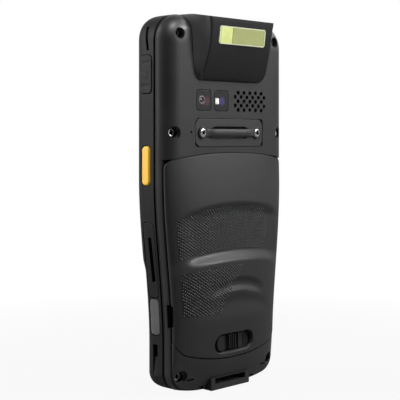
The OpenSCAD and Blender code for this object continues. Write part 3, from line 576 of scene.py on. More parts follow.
class Form:
    """The surfaces of the body, from its sizes. Everything is in millimetres."""

    def __init__(self):
        self.b = b = sizes("terminal_body")
        self.c = sizes("terminal_cover")
        self.h = sizes("terminal_hood")
        self.waist_top = b.height - 72
        self.waist_bottom = 22
        self.step_top = 59.5
        self.step_bottom = self.step_top - 6
        self.foot_flat = 12
        self.foot_r = 62
        self.cover_edge_y = 3.3
        self.ledge_y = 2.5
        self.seam_z = b.height - self.c.drop
        self.hood_z = b.height - self.h.height
        self.side_y = -6.4
        self.strap_z = b.height - 52
        self.window_z = b.height - 37.6
        self.screws = [(31.1, b.height - 8.9, 7.0), (34.0, b.height - 52, 5.8), (28.6, 8.4, 3.6)]

    def half_w(self, z):
        b = self.b
        t = (self.waist_top - z) / (self.waist_top - self.waist_bottom)
        return b.half_width - (b.half_width - b.grip_half_width) * smooth(t)

    def foot(self, x):
        return max(abs(x) - self.foot_flat, 0) ** 2 / (2 * self.foot_r)

    def outline(self, side, end, top=None):
        """Half outline from the foot's middle up to the top, inset at the sides and the ends."""
        b = self.b
        top = end if top is None else top
        rb = max(b.bottom_radius - 0.6 * side, 2.5)
        rt = max(b.top_radius - 0.9 * side, 4)
        xb = b.grip_half_width - side - rb
        lean = max(xb - self.foot_flat, 0) / self.foot_r
        zb = end + self.foot(xb)
        z_side = zb + (lean + 1) * rb
        z_top = b.height - top - rt
        points = [(x, end + self.foot(x)) for x in [1.0, 5.0, 9.0]]
        points += [(x, end + self.foot(x)) for x in span(self.foot_flat, xb, 8)]
        for i in range(1, 13):
            f = math.radians(7.5 * i)
            points.append((xb + rb * math.sin(f),
                           zb + lean * rb * math.sin(f) + rb * (1 - math.cos(f))))
        points += [(self.half_w(z) - side, z) for z in span(z_side, self.waist_top, 40)[1:]]
        points += [(b.half_width - side, z) for z in span(self.waist_top, z_top, 6)[1:]]
        for i in range(1, 19):
            f = math.radians(5 * i)
            points.append((b.half_width - side - rt + rt * math.cos(f), z_top + rt * math.sin(f)))
        return points

    def front_step(self, z):
        return smooth((self.step_top - z) / (self.step_top - self.step_bottom))

    def loft(self, levels):
        """Rings of the outline at levels (depth at the display and at the keypad, side, end)."""
        rings = []
        for y0, y1, *insets in levels:
            right = [(x, y0 + (y1 - y0) * self.front_step(z), z) for x, z in self.outline(*insets)]
            rings.append(right + [(-x, y, z) for x, y, z in reversed(right)])
        return rings

    def front_depth_at(self, z):
        b = self.b
        return b.front_depth + (b.keypad_depth - b.front_depth) * self.front_step(z)

    def side_x(self, y, z):
        """Half width of the front housing's skin at depth y and height z."""
        r = self.b.front_radius
        t = 1 - (y + self.front_depth_at(z)) / r
        inset = r * (1 - math.sqrt(max(1 - max(t, 0) ** 2, 0)))
        return self.half_w(z) - inset

    def rear_inset(self, y):
        b = self.b
        d = y - b.rear_depth + b.rear_radius
        return 0 if d <= 0 else b.rear_radius - math.sqrt(max(b.rear_radius ** 2 - d * d, 0))

    def rear_level(self, y):
        i = self.rear_inset(min(y, self.b.rear_depth - 0.04))
        return (y, y, i, 0.375 * i, 0.95 * i)

    def front_rings(self):
        b = self.b
        levels = []
        for t in [90, 80, 72, 64, 56, 48, 40, 32, 24, 16, 8, 0]:
            d = b.front_radius * (1 - math.sin(math.radians(t)))
            i = b.front_radius * (1 - math.cos(math.radians(t)))
            tight = b.front_radius - 1.8
            low = tight - math.sqrt(max(tight ** 2 - max(tight - i, 0) ** 2, 0))
            keypad = low + (d - low) * (1 - math.sin(math.radians(t)))
            levels.append((d - b.front_depth, keypad - b.keypad_depth, i, 0.42 * i))
        for y, i in [(-3, 0), (-1.9, 0), (-1.75, 0.12), (-1.7, 1.1), (-0.85, 1.1), (-0.8, 0.12),
                     (-0.65, 0), (0, 0)]:
            levels.append((y, y, i, 0.8 * i))
        return self.loft(levels)

    def rear_rings(self):
        b = self.b
        r = b.rear_radius
        ys = [0.0, 0.001]
        ys += [b.rear_depth - r + r * math.sin(math.radians(a)) for a in range(12, 79, 6)]
        ys += [b.rear_depth - 0.04, b.rear_depth]
        return self.loft([self.rear_level(y) for y in ys])

    # seams and skin of the battery cover

    def corner_drop(self, x, w, r):
        d = min(max(abs(x) - w + r, 0), r)
        return r - math.sqrt(max(r * r - d * d, 0))

    def cover_hw(self, z):
        return self.half_w(z) - self.rear_inset(self.cover_edge_y)

    def seam_top(self, x):
        corner = self.corner_drop(x, self.cover_hw(self.b.height), 4)
        return self.seam_z - self.arc(x, self.c.top_arc) - corner

    def seam_bottom(self, x):
        corner = self.corner_drop(x, self.cover_hw(20), 6)
        return self.c.foot + self.arc(x, self.c.bottom_arc) + corner

    def swell(self, z):
        reach = self.seam_z - 55
        d = (z - 55) / reach
        return self.c.depth - (self.c.depth - self.b.rear_depth - 0.8) * d * d

    @staticmethod
    def trough(z, top, bottom, ease_top, ease_bottom):
        """0 outside the hollow and 1 on its floor, with an eased wall at each end."""
        return smooth((top - z) / ease_top) * smooth((z - bottom) / ease_bottom)

    @staticmethod
    def arc(x, radius):
        """Drop of an arc of that radius at x from its middle."""
        return x * x / (2 * radius)

    def gripped(self, x, z):
        """Whether a place on the cover carries grip pips."""
        w = self.cover_hw(z) - 0.1
        upper = 62.6 < z + self.arc(x, 190) and z + self.arc(x, 110) < 82.0
        low_edge = 35.5 + max(x, 0) ** 2 / 260 - 0.12 * x
        lower = low_edge < z and z + self.arc(x, 190) < 55.6 and x > 0.62 * (57 - z) - 4
        return 0.35 * abs(z - 72) - 24 < x < w - 3.4 and (upper or lower)

    def cover_y(self, x, z, w):
        u = min(abs(x) / w, 1)
        fade = 1 - smooth((u - 0.62) / 0.33)
        upper = self.trough(z, 84.4 - self.arc(x, 110), 57.2 - self.arc(x, 190), 5.0, 5.0)
        lower = self.trough(z, 50.6 - self.arc(x, 42), 43.8 - self.arc(x, 42), 2.6, 3.0)
        last = self.trough(z, 44.2 - self.arc(x, 42), 31.0, 5.0, 9.0)
        dip = self.c.hollow * (upper + 0.5 * lower * (1 - smooth((u - 0.3) / 0.3)) + 0.35 * last)
        crown = max(1 - u ** 2.5, 0) ** 0.56
        low = self.cover_edge_y + 0.2
        return low + (self.swell(z) - dip * fade - low) * crown


# ---------------------------------------------------------------- meshes


def put(name, mesh):
    made = bpy.data.objects.new(name, mesh)
    bpy.context.scene.collection.objects.link(made)
    return made


def mesh_of(name, points, faces):
    mesh = bpy.data.meshes.new(name)
    mesh.from_pydata([tuple(v * MM for v in p) for p in points], [], faces)
    mesh.validate()
    work = bmesh.new()
    work.from_mesh(mesh)
    bmesh.ops.remove_doubles(work, verts=work.verts, dist=1e-7)
    bmesh.ops.recalc_face_normals(work, faces=work.faces)
    work.to_mesh(mesh)
    work.free()
    return mesh


def skin_faces(rows, cols, closed):
    """Quads over rows rings of cols points."""
    faces = []
    wrap = cols if closed else cols - 1
    for j in range(rows - 1):
        for i in range(wrap):
            a, b = j * cols + i, j * cols + (i + 1) % cols
            faces.append((a, b, b + cols, a + cols))
    return faces


def ringed(name, rings, ladder=False):
    """Closed solid through rings. A ladder cap joins opposite points; else one face caps it."""
    n = len(rings[0])
    points = [p for ring in rings for p in ring]
    faces = skin_faces(len(rings), n, True)
    last = (len(rings) - 1) * n
    if ladder:
        for i in range(n // 2 - 1):
            faces.append((i, i + 1, n - 2 - i, n - 1 - i))
            faces.append((last + i, last + i + 1, last + n - 2 - i, last + n - 1 - i))
    else:
        faces.append(tuple(range(n)))
        faces.append(tuple(last + i for i in range(n)))
    return mesh_of(name, points, faces)


def gridded(name, skin, base):
    """Closed solid under a grid of skin points; base gives the point under a skin point."""
    rows, cols = len(skin), len(skin[0])
    points = [p for row in skin for p in row] + [base(p) for row in skin for p in row]
    n = rows * cols
    faces = skin_faces(rows, cols, False)
    faces += [tuple(n + v for v in face) for face in faces]
    edge = [i for i in range(cols)] + [j * cols + cols - 1 for j in range(1, rows)]
    edge += [(rows - 1) * cols + i for i in range(cols - 2, -1, -1)]
    edge += [j * cols for j in range(rows - 2, 0, -1)]
    for a, b in zip(edge, edge[1:] + edge[:1]):
        faces.append((a, b, n + b, n + a))
    return mesh_of(name, points, faces)


def back(u, v, d):
    """A point of the back: across, up and depth."""
    return (u, d, v)


def side(u, v, d):
    """A point of the side: depth, up and outwards."""
    return (d, u, v)


def outward(outline, place, levels, lay=back):
    """Rings of an outline function of inset, at levels (depth, inset)."""
    return [[lay(place[0] + u, place[1] + v, depth) for u, v in outline(inset)] for depth,
            inset in levels]


def block_rings(x0, x1, y0, y1, z0, z1):
    return [[(x0, y, z0), (x1, y, z0), (x1, y, z1), (x0, y, z1)] for y in (y0, y1)]


def pad(w, h, r, n=8):
    """Outline function of a rounded rectangle that shrinks by its inset."""
    return lambda inset: rounded(w - 2 * inset, h - 2 * inset, max(r - inset, 0.05), n)


def round_pad(d, n=32):
    return lambda inset: disc(d - 2 * inset, n)


def soft_edge(top, radius, steps=4):
    """Levels of a rounded outer edge that ends at depth top."""
    levels = []
    for i in range(steps + 1):
        a = math.radians(90 * i / steps)
        levels.append((top - radius * (1 - math.sin(a)), radius * (1 - math.cos(a))))
    return levels


def solid(name, rings, ladder=False):
    return put(name, ringed(name, rings, ladder))


def prism(name, outline, place, levels, lay=back):
    """Closed solid through an outline function at levels (depth, inset)."""
    return solid(name, outward(outline, place, levels, lay))


def block(name, *bounds):
    return solid(name, block_rings(*bounds))


def evaluated(thing):
    """Mesh of an object after its modifiers."""
    bpy.context.view_layer.update()
    depsgraph = bpy.context.evaluated_depsgraph_get()
    return bpy.data.meshes.new_from_object(thing.evaluated_get(depsgraph))


def combine(target, tools, operation):
    """Applies boolean tools to target one after another and removes them."""
    for tool in tools:
        step = target.modifiers.new("step", "BOOLEAN")
        step.operation = operation
        step.solver = "MANIFOLD"
        step.object = tool
    mesh = evaluated(target)
    if not mesh.polygons:
        raise RuntimeError(f"{target.name} has no faces after {operation.lower()}")
    old = target.data
    target.modifiers.clear()
    target.data = mesh
    bpy.data.meshes.remove(old)
    for tool in tools:
        bpy.data.objects.remove(tool)
    return target


def cut(target, *tools):
    return combine(target, tools, "DIFFERENCE")


def join(target, *tools):
    return combine(target, tools, "UNION")


def polish(piece, angle):
    """Smooth shading with crisp edges past the angle."""
    mesh = piece.data
    work = bmesh.new()
    work.from_mesh(mesh)
    bmesh.ops.remove_doubles(work, verts=work.verts, dist=2e-7)
    bmesh.ops.dissolve_degenerate(work, edges=work.edges, dist=1e-7)
    work.to_mesh(mesh)
    work.free()
    mesh.shade_smooth()
    mesh.set_sharp_from_angle(angle=math.radians(angle))
    normals = piece.modifiers.new("shade", "WEIGHTED_NORMAL")
    normals.keep_sharp = True
    normals.weight = 60


def mark(piece, name, inside):
    """Sets a point attribute to 1 where inside(x, y, z), in millimetres, holds."""
    layer = piece.data.attributes.new(name, "FLOAT", "POINT")
    for v in piece.data.vertices:
        layer.data[v.index].value = 1.0 if inside(*(c / MM for c in v.co)) else 0.0
    return piece


def settle(piece, finish_name, body, nodes=(), slot=None, angle=32):
    """Finishes a piece: shading, material, the body it rides on and the nodes it stands for."""
    polish(piece, angle)
    piece.data.materials.clear()
    piece.data.materials.append(finish(finish_name))
    for node in nodes:
        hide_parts(node)
    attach(piece, body)
    return piece


def coat(node, finish_name):
    """Gives a carried CAD node its finish."""
    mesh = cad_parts[node].data
    mesh.materials.clear()
    mesh.materials.append(finish(finish_name))


# ---------------------------------------------------------------- repeated pieces by Geometry Nodes


def repeat_tree(name):
    """Tree that sets one copy of a shape on each point, turned to the point's normal."""
    tree = bpy.data.node_groups.new(name, "GeometryNodeTree")
    tree.interface.new_socket("Geometry", in_out="INPUT", socket_type="NodeSocketGeometry")
    named = {}
    for label, kind, value in (("Shape", "Object", None), ("Scale", "Float", 1.0),
                               ("Scale spread", "Float", 0.0),
                               ("Seed", "Int", 3), ("Material", "Material", None)):
        socket = tree.interface.new_socket(label, in_out="INPUT", socket_type="NodeSocket" + kind)
        if value is not None:
            socket.default_value = value
        named[label] = socket.identifier
    tree.interface.new_socket("Geometry", in_out="OUTPUT", socket_type="NodeSocketGeometry")
    nodes = Nodes(tree)
    start = tree.nodes.new("NodeGroupInput")

    def given(label):
        return Field(nodes, start.outputs[label])

    shape = nodes.node("GeometryNodeObjectInfo", inputs={"Object": given("Shape")},
                       output="Geometry")
    way = nodes.node("GeometryNodeInputNamedAttribute", {"data_type": "FLOAT_VECTOR"},
                     {"Name": "outward"}, "Attribute")
    turn = nodes.node("FunctionNodeAlignRotationToVector", {"axis": "Z"}, {"Vector": way},
                      "Rotation")
    scale = nodes.node("FunctionNodeRandomValue", {"data_type": "FLOAT"},
                       {2: given("Scale") - given("Scale spread"), 3: given("Scale"),
                        "Seed": given("Seed")}, 1)
    placed = nodes.node("GeometryNodeInstanceOnPoints",
                        inputs={"Points": given("Geometry"), "Instance": shape, "Rotation": turn,
                                "Scale": scale}, output="Instances")
    real = nodes.node("GeometryNodeRealizeInstances", inputs={"Geometry": placed})
    painted = nodes.node("GeometryNodeSetMaterial",
                         inputs={"Geometry": real, "Material": given("Material")})
    nodes.node("NodeGroupOutput", inputs={"Geometry": painted}, output=None)
    return tree, named


def repeated(name, places, shape, finish_name, spread=0.0, seed=3):
    """One mesh with a copy of the shape object at each (point, outward direction)."""
    cloud = bpy.data.meshes.new(name + "_places")
    cloud.from_pydata([tuple(v * MM for v in point) for point, _ in places], [], [])
    facing = cloud.attributes.new("outward", "FLOAT_VECTOR", "POINT")
    facing.data.foreach_set("vector", [v for _, way in places for v in way])
    holder = put(name + "_places", cloud)
    tree, sockets = repeat_tree(name + "_rule")
    rule = holder.modifiers.new("rule", "NODES")
    rule.node_group = tree
    for label, value in (("Shape", shape), ("Scale", 1.0), ("Scale spread", spread), ("Seed", seed),
                         ("Material", finish(finish_name))):
        rule[sockets[label]] = value
    mesh = evaluated(holder)
    if not mesh.polygons:
        raise RuntimeError(f"{name} came out empty")
    mesh.name = name
    bpy.data.objects.remove(holder)
    bpy.data.objects.remove(shape)
    return put(name, mesh)


# ---------------------------------------------------------------- pieces


class TerminalStep:
    """What every operator of this file shares."""

    bl_options = {"REGISTER", "UNDO"}

    def execute(self, context):
        self.build(Form())
        return {"FINISHED"}


def side_hole(form, w, l, z, depth, r=2.0, mirror=False):
    """Cutter through the side at height z; depth is the X where it starts."""
    grow = form.b.gap
    outline = pad(w + 2 * grow, l + 2 * grow, r + grow)
    rings = outward(outline, (form.side_y, z), [(depth, 0), (60, 0)], side)
    if mirror:
        rings = [[(-x, y, zz) for x, y, zz in ring] for ring in rings]
    return solid("side_hole", rings)


def pocket(form, w, l, z, depth, r=2.0):
    """Cutter that follows the side's skin, depth below it."""
    grow = form.b.gap
    points = rounded(w + 2 * grow, l + 2 * grow, r + grow, 8)
    rings = [[(60, form.side_y + u, z + v) for u, v in points]]
    for s in (0, 0.8, 1.8, 2.8):
        ring = []
        for u, v in rounded(w + 2 * grow - 2 * s, l + 2 * grow - 2 * s, max(r + grow - s, 0.1), 8):
            y, zz = form.side_y + u, z + v
            ring.append((form.side_x(y, zz) - depth, y, zz))
        rings.append(ring)
    return solid("pocket", rings)


def fitted_lid(form, name, w, l, z, thick, r=2.0, edge=0.3):
    """Lid whose outer face follows the side's skin, with a rounded edge."""
    rings = []
    for s in (2.6, 1.2, 0.0):
        rings.append([])
        for u, v in rounded(w - 2 * s, l - 2 * s, max(r - s, 0.1), 8):
            y, zz = form.side_y + u, z + v
            rings[-1].append((form.side_x(y, zz) - thick, y, zz))
    for depth, inset in soft_edge(0.0, edge) + [(0.0, 1.0), (0.0, 1.9), (0.0, 2.8)]:
        rings.append([])
        for u, v in rounded(w - 2 * inset, l - 2 * inset, max(r - inset, 0.1), 8):
            y, zz = form.side_y + u, z + v
            rings[-1].append((form.side_x(y, zz) + depth, y, zz))
    return solid(name, rings)


def tilted_block(centre, half, lean=0.0, cant=0.0):
    """Closed box about a centre, leaned about X and canted about Y, in degrees."""
    corners = block_rings(-half[0], half[0], -half[1], half[1], -half[2], half[2])
    turn = Matrix.Rotation(math.radians(lean), 3, "X") @ Matrix.Rotation(math.radians(cant), 3, "Y")
    rings = [[tuple(turn @ Vector(p) + Vector(centre)) for p in ring] for ring in corners]
    return solid("tilted", rings)


def front_keys():
    """Node, width, height, radius, place, flange, finish, slot and figure of each front key."""
    marks = iter("123456789*0#")
    for row in (1, 2, 3, 4):
        for col in (1, 2, 3):
            place = ((col - 2) * KEY_PITCH[0], KEY_FOOT + (4 - row) * KEY_PITCH[1])
            yield f"key_r{row}c{col}", 14.4, 6.8, 2, place, 1.6, "keys", "key_rubber", next(marks)
    for node, x in (("key_left", -KEY_PITCH[0]), ("key_right", KEY_PITCH[0])):
        yield node, 14.4, 6.8, 2, (x, KEY_HEAD), 1.6, "keys", "key_rubber", None
    yield "key_scan", 15.4, 7.2, 3.2, (0, KEY_HEAD), 2, "scan_key", "orange_key", None


class TERMINAL_OT_front_housing(TerminalStep, bpy.types.Operator):
    """Front housing with its glass recess, key openings, lid pockets and side slots"""

    bl_idname = "terminal.front_housing"
    bl_label = "Front housing"

    def build(self, form):
        b = form.b
        shell = solid("front_case", form.front_rings(), ladder=True)
        wall = b.wall
        front = b.keypad_depth - wall
        cavity = form.loft([(-front, -front, b.front_radius - 0.2, wall + 2),
                            (-front + 2.2, -front + 2.2, wall + 1.4, wall + 0.6),
                            (-front + 4.6, -front + 4.6, wall, wall), (1, 1, wall, wall)])
        cut(shell, solid("cavity", cavity, ladder=True))
        posts = [prism("post", round_pad(5.4), (sx * x, z), [(-front - 0.4, 0), (0, 0)])
                 for x, z, _ in form.screws for sx in (1, -1)]
        for sx in (1, -1):
            x0, x1 = sorted((sx * 33.4, sx * 34.4))
            posts.append(block("rail", x0, x1, -front - 0.5, -2.4, form.b.height - 78.5, 153))
        join(shell, *posts)
        tools = [prism("glass", pad(62.5, 101.65, 4.25), (0, DISPLAY_FOOT + 101.4 / 2),
                       [(-60, 0), (-14.0, 0)])]
        tools.append(prism("view", pad(57.5, 91.9, 1.25), (0, DISPLAY_FOOT + 2 + 91.4 / 2),
                           [(-15, 0), (-8, 0)]))
        for _, w, h, r, place, *_ in front_keys():
            tools.append(prism("key_hole", pad(w + 0.5, h + 0.5, r + 0.25), place,
                               [(-60, 0), (-8, 0)]))
        rocker_z, scan_z = b.height - ROCKER_DROP, b.height - SCAN_DROP
        tools += [side_hole(form, 7.2, 16.8, rocker_z, 34.4),
                  side_hole(form, 5.0, 17.2, scan_z, 34.4, 1.9),
                  side_hole(form, 5.0, 17.2, scan_z, 34.4, 1.9, mirror=True),
                  pocket(form, *CARD_LID, 1.3),
                  pocket(form, *PORT_LID, 1.3),
                  prism("card_mouth", pad(2.0, 22.4, 0.5), (-6.65, CARD_LID[2]),
                        [(24, 0), (40, 0)], side),
                  prism("port_mouth", pad(3.5, 9.3, 1.65), (-6.3, PORT_LID[2]), [(24, 0), (40, 0)],
                        side)]
        g = b.grip_half_width
        y0, y1 = form.side_y - 1.4, form.side_y + 1.6
        tools.append(block("slot", g - 4.5, 45, y0, y1, 16.4, 22))
        ramp = [(g - 0.95, 16.6), (g - 0.1, 7.4), (45, 7.4), (45, 16.6)]
        tools += [solid("ramp", [[(x, y, z) for x, z in ramp] for y in (y0, y1)]),
                  tilted_block((b.half_width + 0.6, form.side_y + 0.2, form.hood_z + 17.8),
                               (4, 0.75, 5.3), 9)]
        cut(shell, *tools)

        # The parting groove and the side slots are marked hollow; the side finish paints them near
        # black, as painted shade.
        def deep(x, y, z):
            inset = form.half_w(min(z, b.height - b.top_radius)) - abs(x)
            groove = -1.72 < y < -0.83 and inset > 0.6 and z < b.height - b.top_radius
            in_slot = form.side_y - 2.2 < y < form.side_y + 2.4 and inset > 3.0
            return groove or x > 0 and in_slot and (16.3 < z < 22.1 or 150 < z < 162)

        mark(shell, "hollow", deep)
        settle(shell, "side", HOUSING, ["front_housing"], "shell")


class TERMINAL_OT_rear_housing(TerminalStep, bpy.types.Operator):
    """Rear housing with the battery bay, chin, dock shroud, holes and recesses"""

    bl_idname = "terminal.rear_housing"
    bl_label = "Rear housing"

    def chin(self, form):
        skin = []
        for v in span(0, 1, 16):
            row = []
            for s in span(-1, 1, 48):
                u = math.sin(math.radians(90 * s))
                w = form.cover_hw(form.c.foot) - 0.15
                x = u * w
                z0 = form.foot(x) + 1 + 0.8 * form.corner_drop(x, w, form.b.bottom_radius)
                z1 = max(form.seam_bottom(x) - 1.6 * form.b.gap, z0 + 0.5)
                full = form.cover_y(x, form.c.foot, w) - 3
                bow = math.sin(math.radians(70 * (0.12 + 0.88 * v) ** 0.9)) / 0.9397
                row.append((x, 3 + full * bow, z0 + (z1 - z0) * v))
            skin.append(row)
        return put("chin", gridded("chin", skin, lambda p: (p[0], 2.0, p[2])))

    def below_seam(self, form):
        hw = form.b.half_width
        top = [(x, form.seam_z - x * x / (2 * form.c.top_arc)) for x in span(-hw, hw, 48)]
        ring = top + [(hw + 9, 80), (hw + 9, -2), (-hw - 9, -2), (-hw - 9, 80)]
        return solid("below_seam", [[(x, y, z) for x, z in ring] for y in (form.ledge_y, 20)])

    def build(self, form):
        b = form.b
        wall, rd = b.wall, b.rear_depth
        shell = solid("rear_case", form.rear_rings(), ladder=True)

        def hollow(y1, z0, z1):
            rings = form.loft([(-1, -1, wall, wall), (1.8, 1.8, wall + 0.3, wall + 0.2),
                               (y1, y1, wall + form.rear_inset(y1) + 0.8, wall + 0.9)])
            room = solid("room", rings, ladder=True)
            return combine(room, [block("limit", -50, 50, -2, 20, z0, z1)], "INTERSECT")

        cut(shell, hollow(rd - wall, form.seam_z + 1.6, b.height),
            hollow(form.ledge_y - 1.4, 0, form.seam_z - 2.4),
            self.below_seam(form))
        posts = [prism("post", round_pad(6.4), (sx * x, z), [(0, 0), (min(y, 6) - 0.3, 0)])
                 for x, z, y in form.screws for sx in (1, -1)]
        posts = [combine(post, [solid("outer", form.rear_rings(), ladder=True)], "INTERSECT")
                 for post in posts]
        pack_top = form.seam_z - PACK_DROP
        posts.append(self.chin(form))
        posts.append(block("tub", -30, 30, -1.8, 3.2, 24.6, pack_top + 4))
        pan_y = rd + 0.3 - PAN_DROP
        posts.append(block("pan", -20.7, 20.7, pan_y - 2.3, 6, form.strap_z - 3.2,
                           form.strap_z + 3.2))
        posts.append(block("pan", -14.5, 14.5, pan_y - 2.3, 6, form.strap_z - 6.4,
                           form.strap_z + 6.4))
        join(shell, *posts)
        dock = [[(x, y, z) for x, z in rounded(25, 5.5, 0.5, 4)]
                for y in (1.0, rd, rd + 0.18, rd + 0.3)]
        dock = [[(x * (1 - 0.01 * k), y, z * (1 - 0.04 * k) + 2.75) for x, y, z in ring]
                for k, ring in zip((0, 0, 0.3, 1.0), dock)]
        join(shell, solid("dock", dock))
        tools = [block("bay", -28.5, 28.5, -0.3, 12, 26.5, pack_top + 2.6)]
        for x, z, y in form.screws:
            for sx in (1, -1):
                seat = min(y - 3.2, 2.4)
                lip = 0.35
                levels = [(seat, 0), (y - lip, 0), (y - 0.1, -0.12), (y + 0.1, -lip),
                          (y + 4, -lip - 0.3)]
                tools += [prism("bore", round_pad(4.8), (sx * x, z), levels),
                          prism("shank", round_pad(2.5, 20), (sx * x, z),
                                [(-2, 0), (seat + 0.5, 0)])]
        tools.append(prism("engine", pad(26, 17, 2), (0, b.height - 13),
                           [(rd - 4, 0), (rd + 1, 0)]))
        for x in (16.9, 5.7):
            tools += [prism("frame", pad(9.2, 9.2, 1.5), (x, form.window_z),
                            [(rd - 1, 0), (rd - 0.25, 0), (rd, -0.12), (rd + 1, -0.2)]),
                      prism("light", pad(8, 8, 0.8), (x, form.window_z),
                            [(rd - 4, 0), (rd - 0.5, 0)])]
        for row in range(5):
            n = 4 if row % 2 == 0 else 5
            for i in range(n + 1):
                place = (-13.3 + (i - n / 2) * 3.95, form.window_z + (2 - row) * 1.95)
                tools.append(prism("sound", round_pad(1.85, 14), place,
                                   [(rd - 3, 0), (rd - 0.12, 0),
                                    (rd + 0.1, -0.12), (rd + 1, -0.2)]))
        tools += [prism("inlay", pad(44.2, 12.6, 1.25), (0, form.strap_z),
                        [(rd - 0.8, 0), (rd - 0.2, 0), (rd, -0.1), (rd + 1, -0.16)]),
                  prism("pan_cut", pad(26.8, 10.6, 0.3, 3), (0, form.strap_z),
                        [(pan_y - 0.95, 0), (9, 0)])]
        for x in (-STRAP_X, STRAP_X):
            tools.append(prism("strap_bore", round_pad(1.7, 16), (x, form.strap_z),
                               [(pan_y - 0.8, 0), (8, 0)]))
        tools += [prism("mic", round_pad(1.2, 16), (24.6, form.strap_z + 0.2),
                        [(rd - 8, 0), (rd + 1, 0)]),
                  prism("dock_slot", pad(19.6, 2.6, 0.25, 3), (0, 3.9),
                        [(1.2, 0), (rd + 0.1, 0), (rd + 0.6, -0.3), (9, -0.4)]),
                  block("notch", form.cover_hw(36) - 1.5, 45, form.ledge_y - 1, 9, 30.2, 40.2)]
        for sx in (1, -1):
            x0, x1 = sorted((sx * 21.8, sx * 25.6))
            tools.append(block("dash", x0, x1, 2.6, 8, 6.2, 7))
            x0, x1 = sorted((sx * 14.7, sx * 18.1))
            tools.append(block("nick", x0, x1, 3.4, 8.4, -1, 2.6))
        cut(shell, *tools)
        # The notch's floor is marked hollow; the shell finish paints it near black, as painted
        # shade.
        mark(shell, "hollow", lambda x, y, z: form.ledge_y - 1.05 < y < form.ledge_y - 0.95
             and 30 < z < 40.4 and x > 30)
        settle(shell, "shell", HOUSING, ["rear_housing"], "shell")


class TERMINAL_OT_scan_hood(TerminalStep, bpy.types.Operator):
    """Scan hood with its flared feet, and the window in its mouth"""

    bl_idname = "terminal.scan_hood"
    bl_label = "Scan hood"

    def build(self, form):
        h, b = form.h, form.b
        rd = b.rear_depth
        edges = curve_through([(138.2, 18.4), (138.7, 19.6), (139.9, 20.6), (142, 21.2),
                               (146, 20.9), (150, 20.6),
                               (154, 20.5), (158, 20.6), (162, 20.8), (165, 21.2), (167, 21.4)], 4)
        feet = curve_through([(138.2, 18.6), (138.7, 19.9), (139.9, 21.1), (142, 22.0),
                              (146, 23.0), (150, 23.4),
                              (156.3, 23.8), (160, 24.2), (162.5, 24.6), (165.1, 25.2), (167,
                                                                                         25.6)], 4)
        rings = []
        for i in range(57):
            t = (i / 56) ** 1.25
            z = form.hood_z + h.height * t
            y = hood_y(form, z)
            w, f = along(edges, z), along(feet, z)
            rise = y - rd
            e = min(1.7, 0.4 * rise)
            roll = b.rear_radius - min((b.height - z) / 0.95, b.rear_radius)
            base = rd - b.rear_radius + math.sqrt(b.rear_radius ** 2 - roll ** 2)
            flank = curve_through([(f, base), (w + 0.45 * (f - w), rd + 0.36 * rise),
                                   (w + 0.1 * (f - w), rd + 0.68 * rise),
                                   (w, y - e)], 5)
            bend = [(w - e * (1 - math.cos(math.radians(a))),
                     y - e * (1 - math.sin(math.radians(a)))) for a in (18, 36, 54, 72, 90)]
            right = [(f, min(base, 4.6) - 0.6)] + flank + bend + [(w - e - 1.5, y), (w - e - 4, y),
                                                                  (8.0, y), (1.0, y)]
            slant = SLANT * smooth((z - 161.5) / 5.5)
            ring = [(px, py, z - slant * max(py - SLANT_Y, 0)) for px, py in reversed(right)]
            rings.append([(-px, py, pz) for px, py, pz in reversed(ring)] + ring)
        hood = solid("hood_shell", rings)
        cut(hood, solid("under", form.rear_rings(), ladder=True))
        room = [(4, form.hood_z + 5), (7.8, form.hood_z + 5), (10.2, form.hood_z + 10),
                (12.4, form.hood_z + 17),
                (13, b.height - 2.4), (4, b.height - 2.4)]
        tools = [solid("room", [[(x, y, z) for y, z in room] for x in (-16, 16)])]
        tools += [slanted(block("mouth", -14.5, 14.5, 9.4, 12.9, b.height - 4, b.height + 2)),
                  slanted(block("seat", -15.6, 15.6, 8.8, 13.6, b.height - 1.1, b.height + 2))]
        label = pad(h.label_width + 0.2, h.label_height + 0.2, 1.2)
        tools.append(on_label(form, prism("label_seat", label, (0, 0), [(-0.65, 0), (1, 0)])))
        cut(hood, *tools)
        mark(hood, "flank", lambda x, y, z: abs(x) > along(edges, z) - 0.5)
        settle(hood, "hood", HOUSING, ["scan_hood"], "hood", angle=40)
        window = solid("hood_window",
                       [[(x, y, z) for x, y in rounded(31, 4.8, 0.4, 3)]
                        for z in (b.height - 1.1, b.height - 0.3)]
                       + [[(x * 0.995, y * 0.97, b.height - 0.2) for x,
                           y in rounded(31, 4.8, 0.4, 3)]])
        for v in window.data.vertices:
            v.co.y += 11.15 * MM
        slanted(window)
        settle(window, "scan_glass", HOUSING, ["scan_window"], "scan_filter")


def curve_through(knots, steps):
    """Smooth curve through 2-D points, ends included."""
    ends = [knots[0]] + knots + [knots[-1]]
    points = [knots[0]]
    for p0, p1, p2, p3 in zip(ends, ends[1:], ends[2:], ends[3:]):
        for s in range(1, steps + 1):
            t = s / steps
            points.append(tuple(0.5 * (2 * q1 + (q2 - q0) * t
                                       + (2 * q0 - 5 * q1 + 4 * q2 - q3) * t * t
                                       + (3 * q1 - q0 - 3 * q2 + q3) * t ** 3)
                                for q0, q1, q2, q3 in zip(p0, p1, p2, p3)))
    return points


def along(table, z):
    """Value at z in a table of (z, value), which rises in z."""
    for (z0, v0), (z1, v1) in zip(table, table[1:]):
        if z <= z1:
            return v0 + (v1 - v0) * min(max((z - z0) / (z1 - z0), 0), 1)
    return table[-1][1]


def slanted(piece):
    """Leans a piece of the hood's mouth with the hood's top."""
    for v in piece.data.vertices:
        v.co.z -= SLANT * (v.co.y - SLANT_Y * MM)
    return piece


def hood_y(form, z):
    t = min(max((z - form.hood_z) / form.h.height, 0), 1)
    low = form.b.rear_depth + 0.6
    return low + (form.h.depth - low) * math.sin(math.pi / 2 * t) ** 0.65


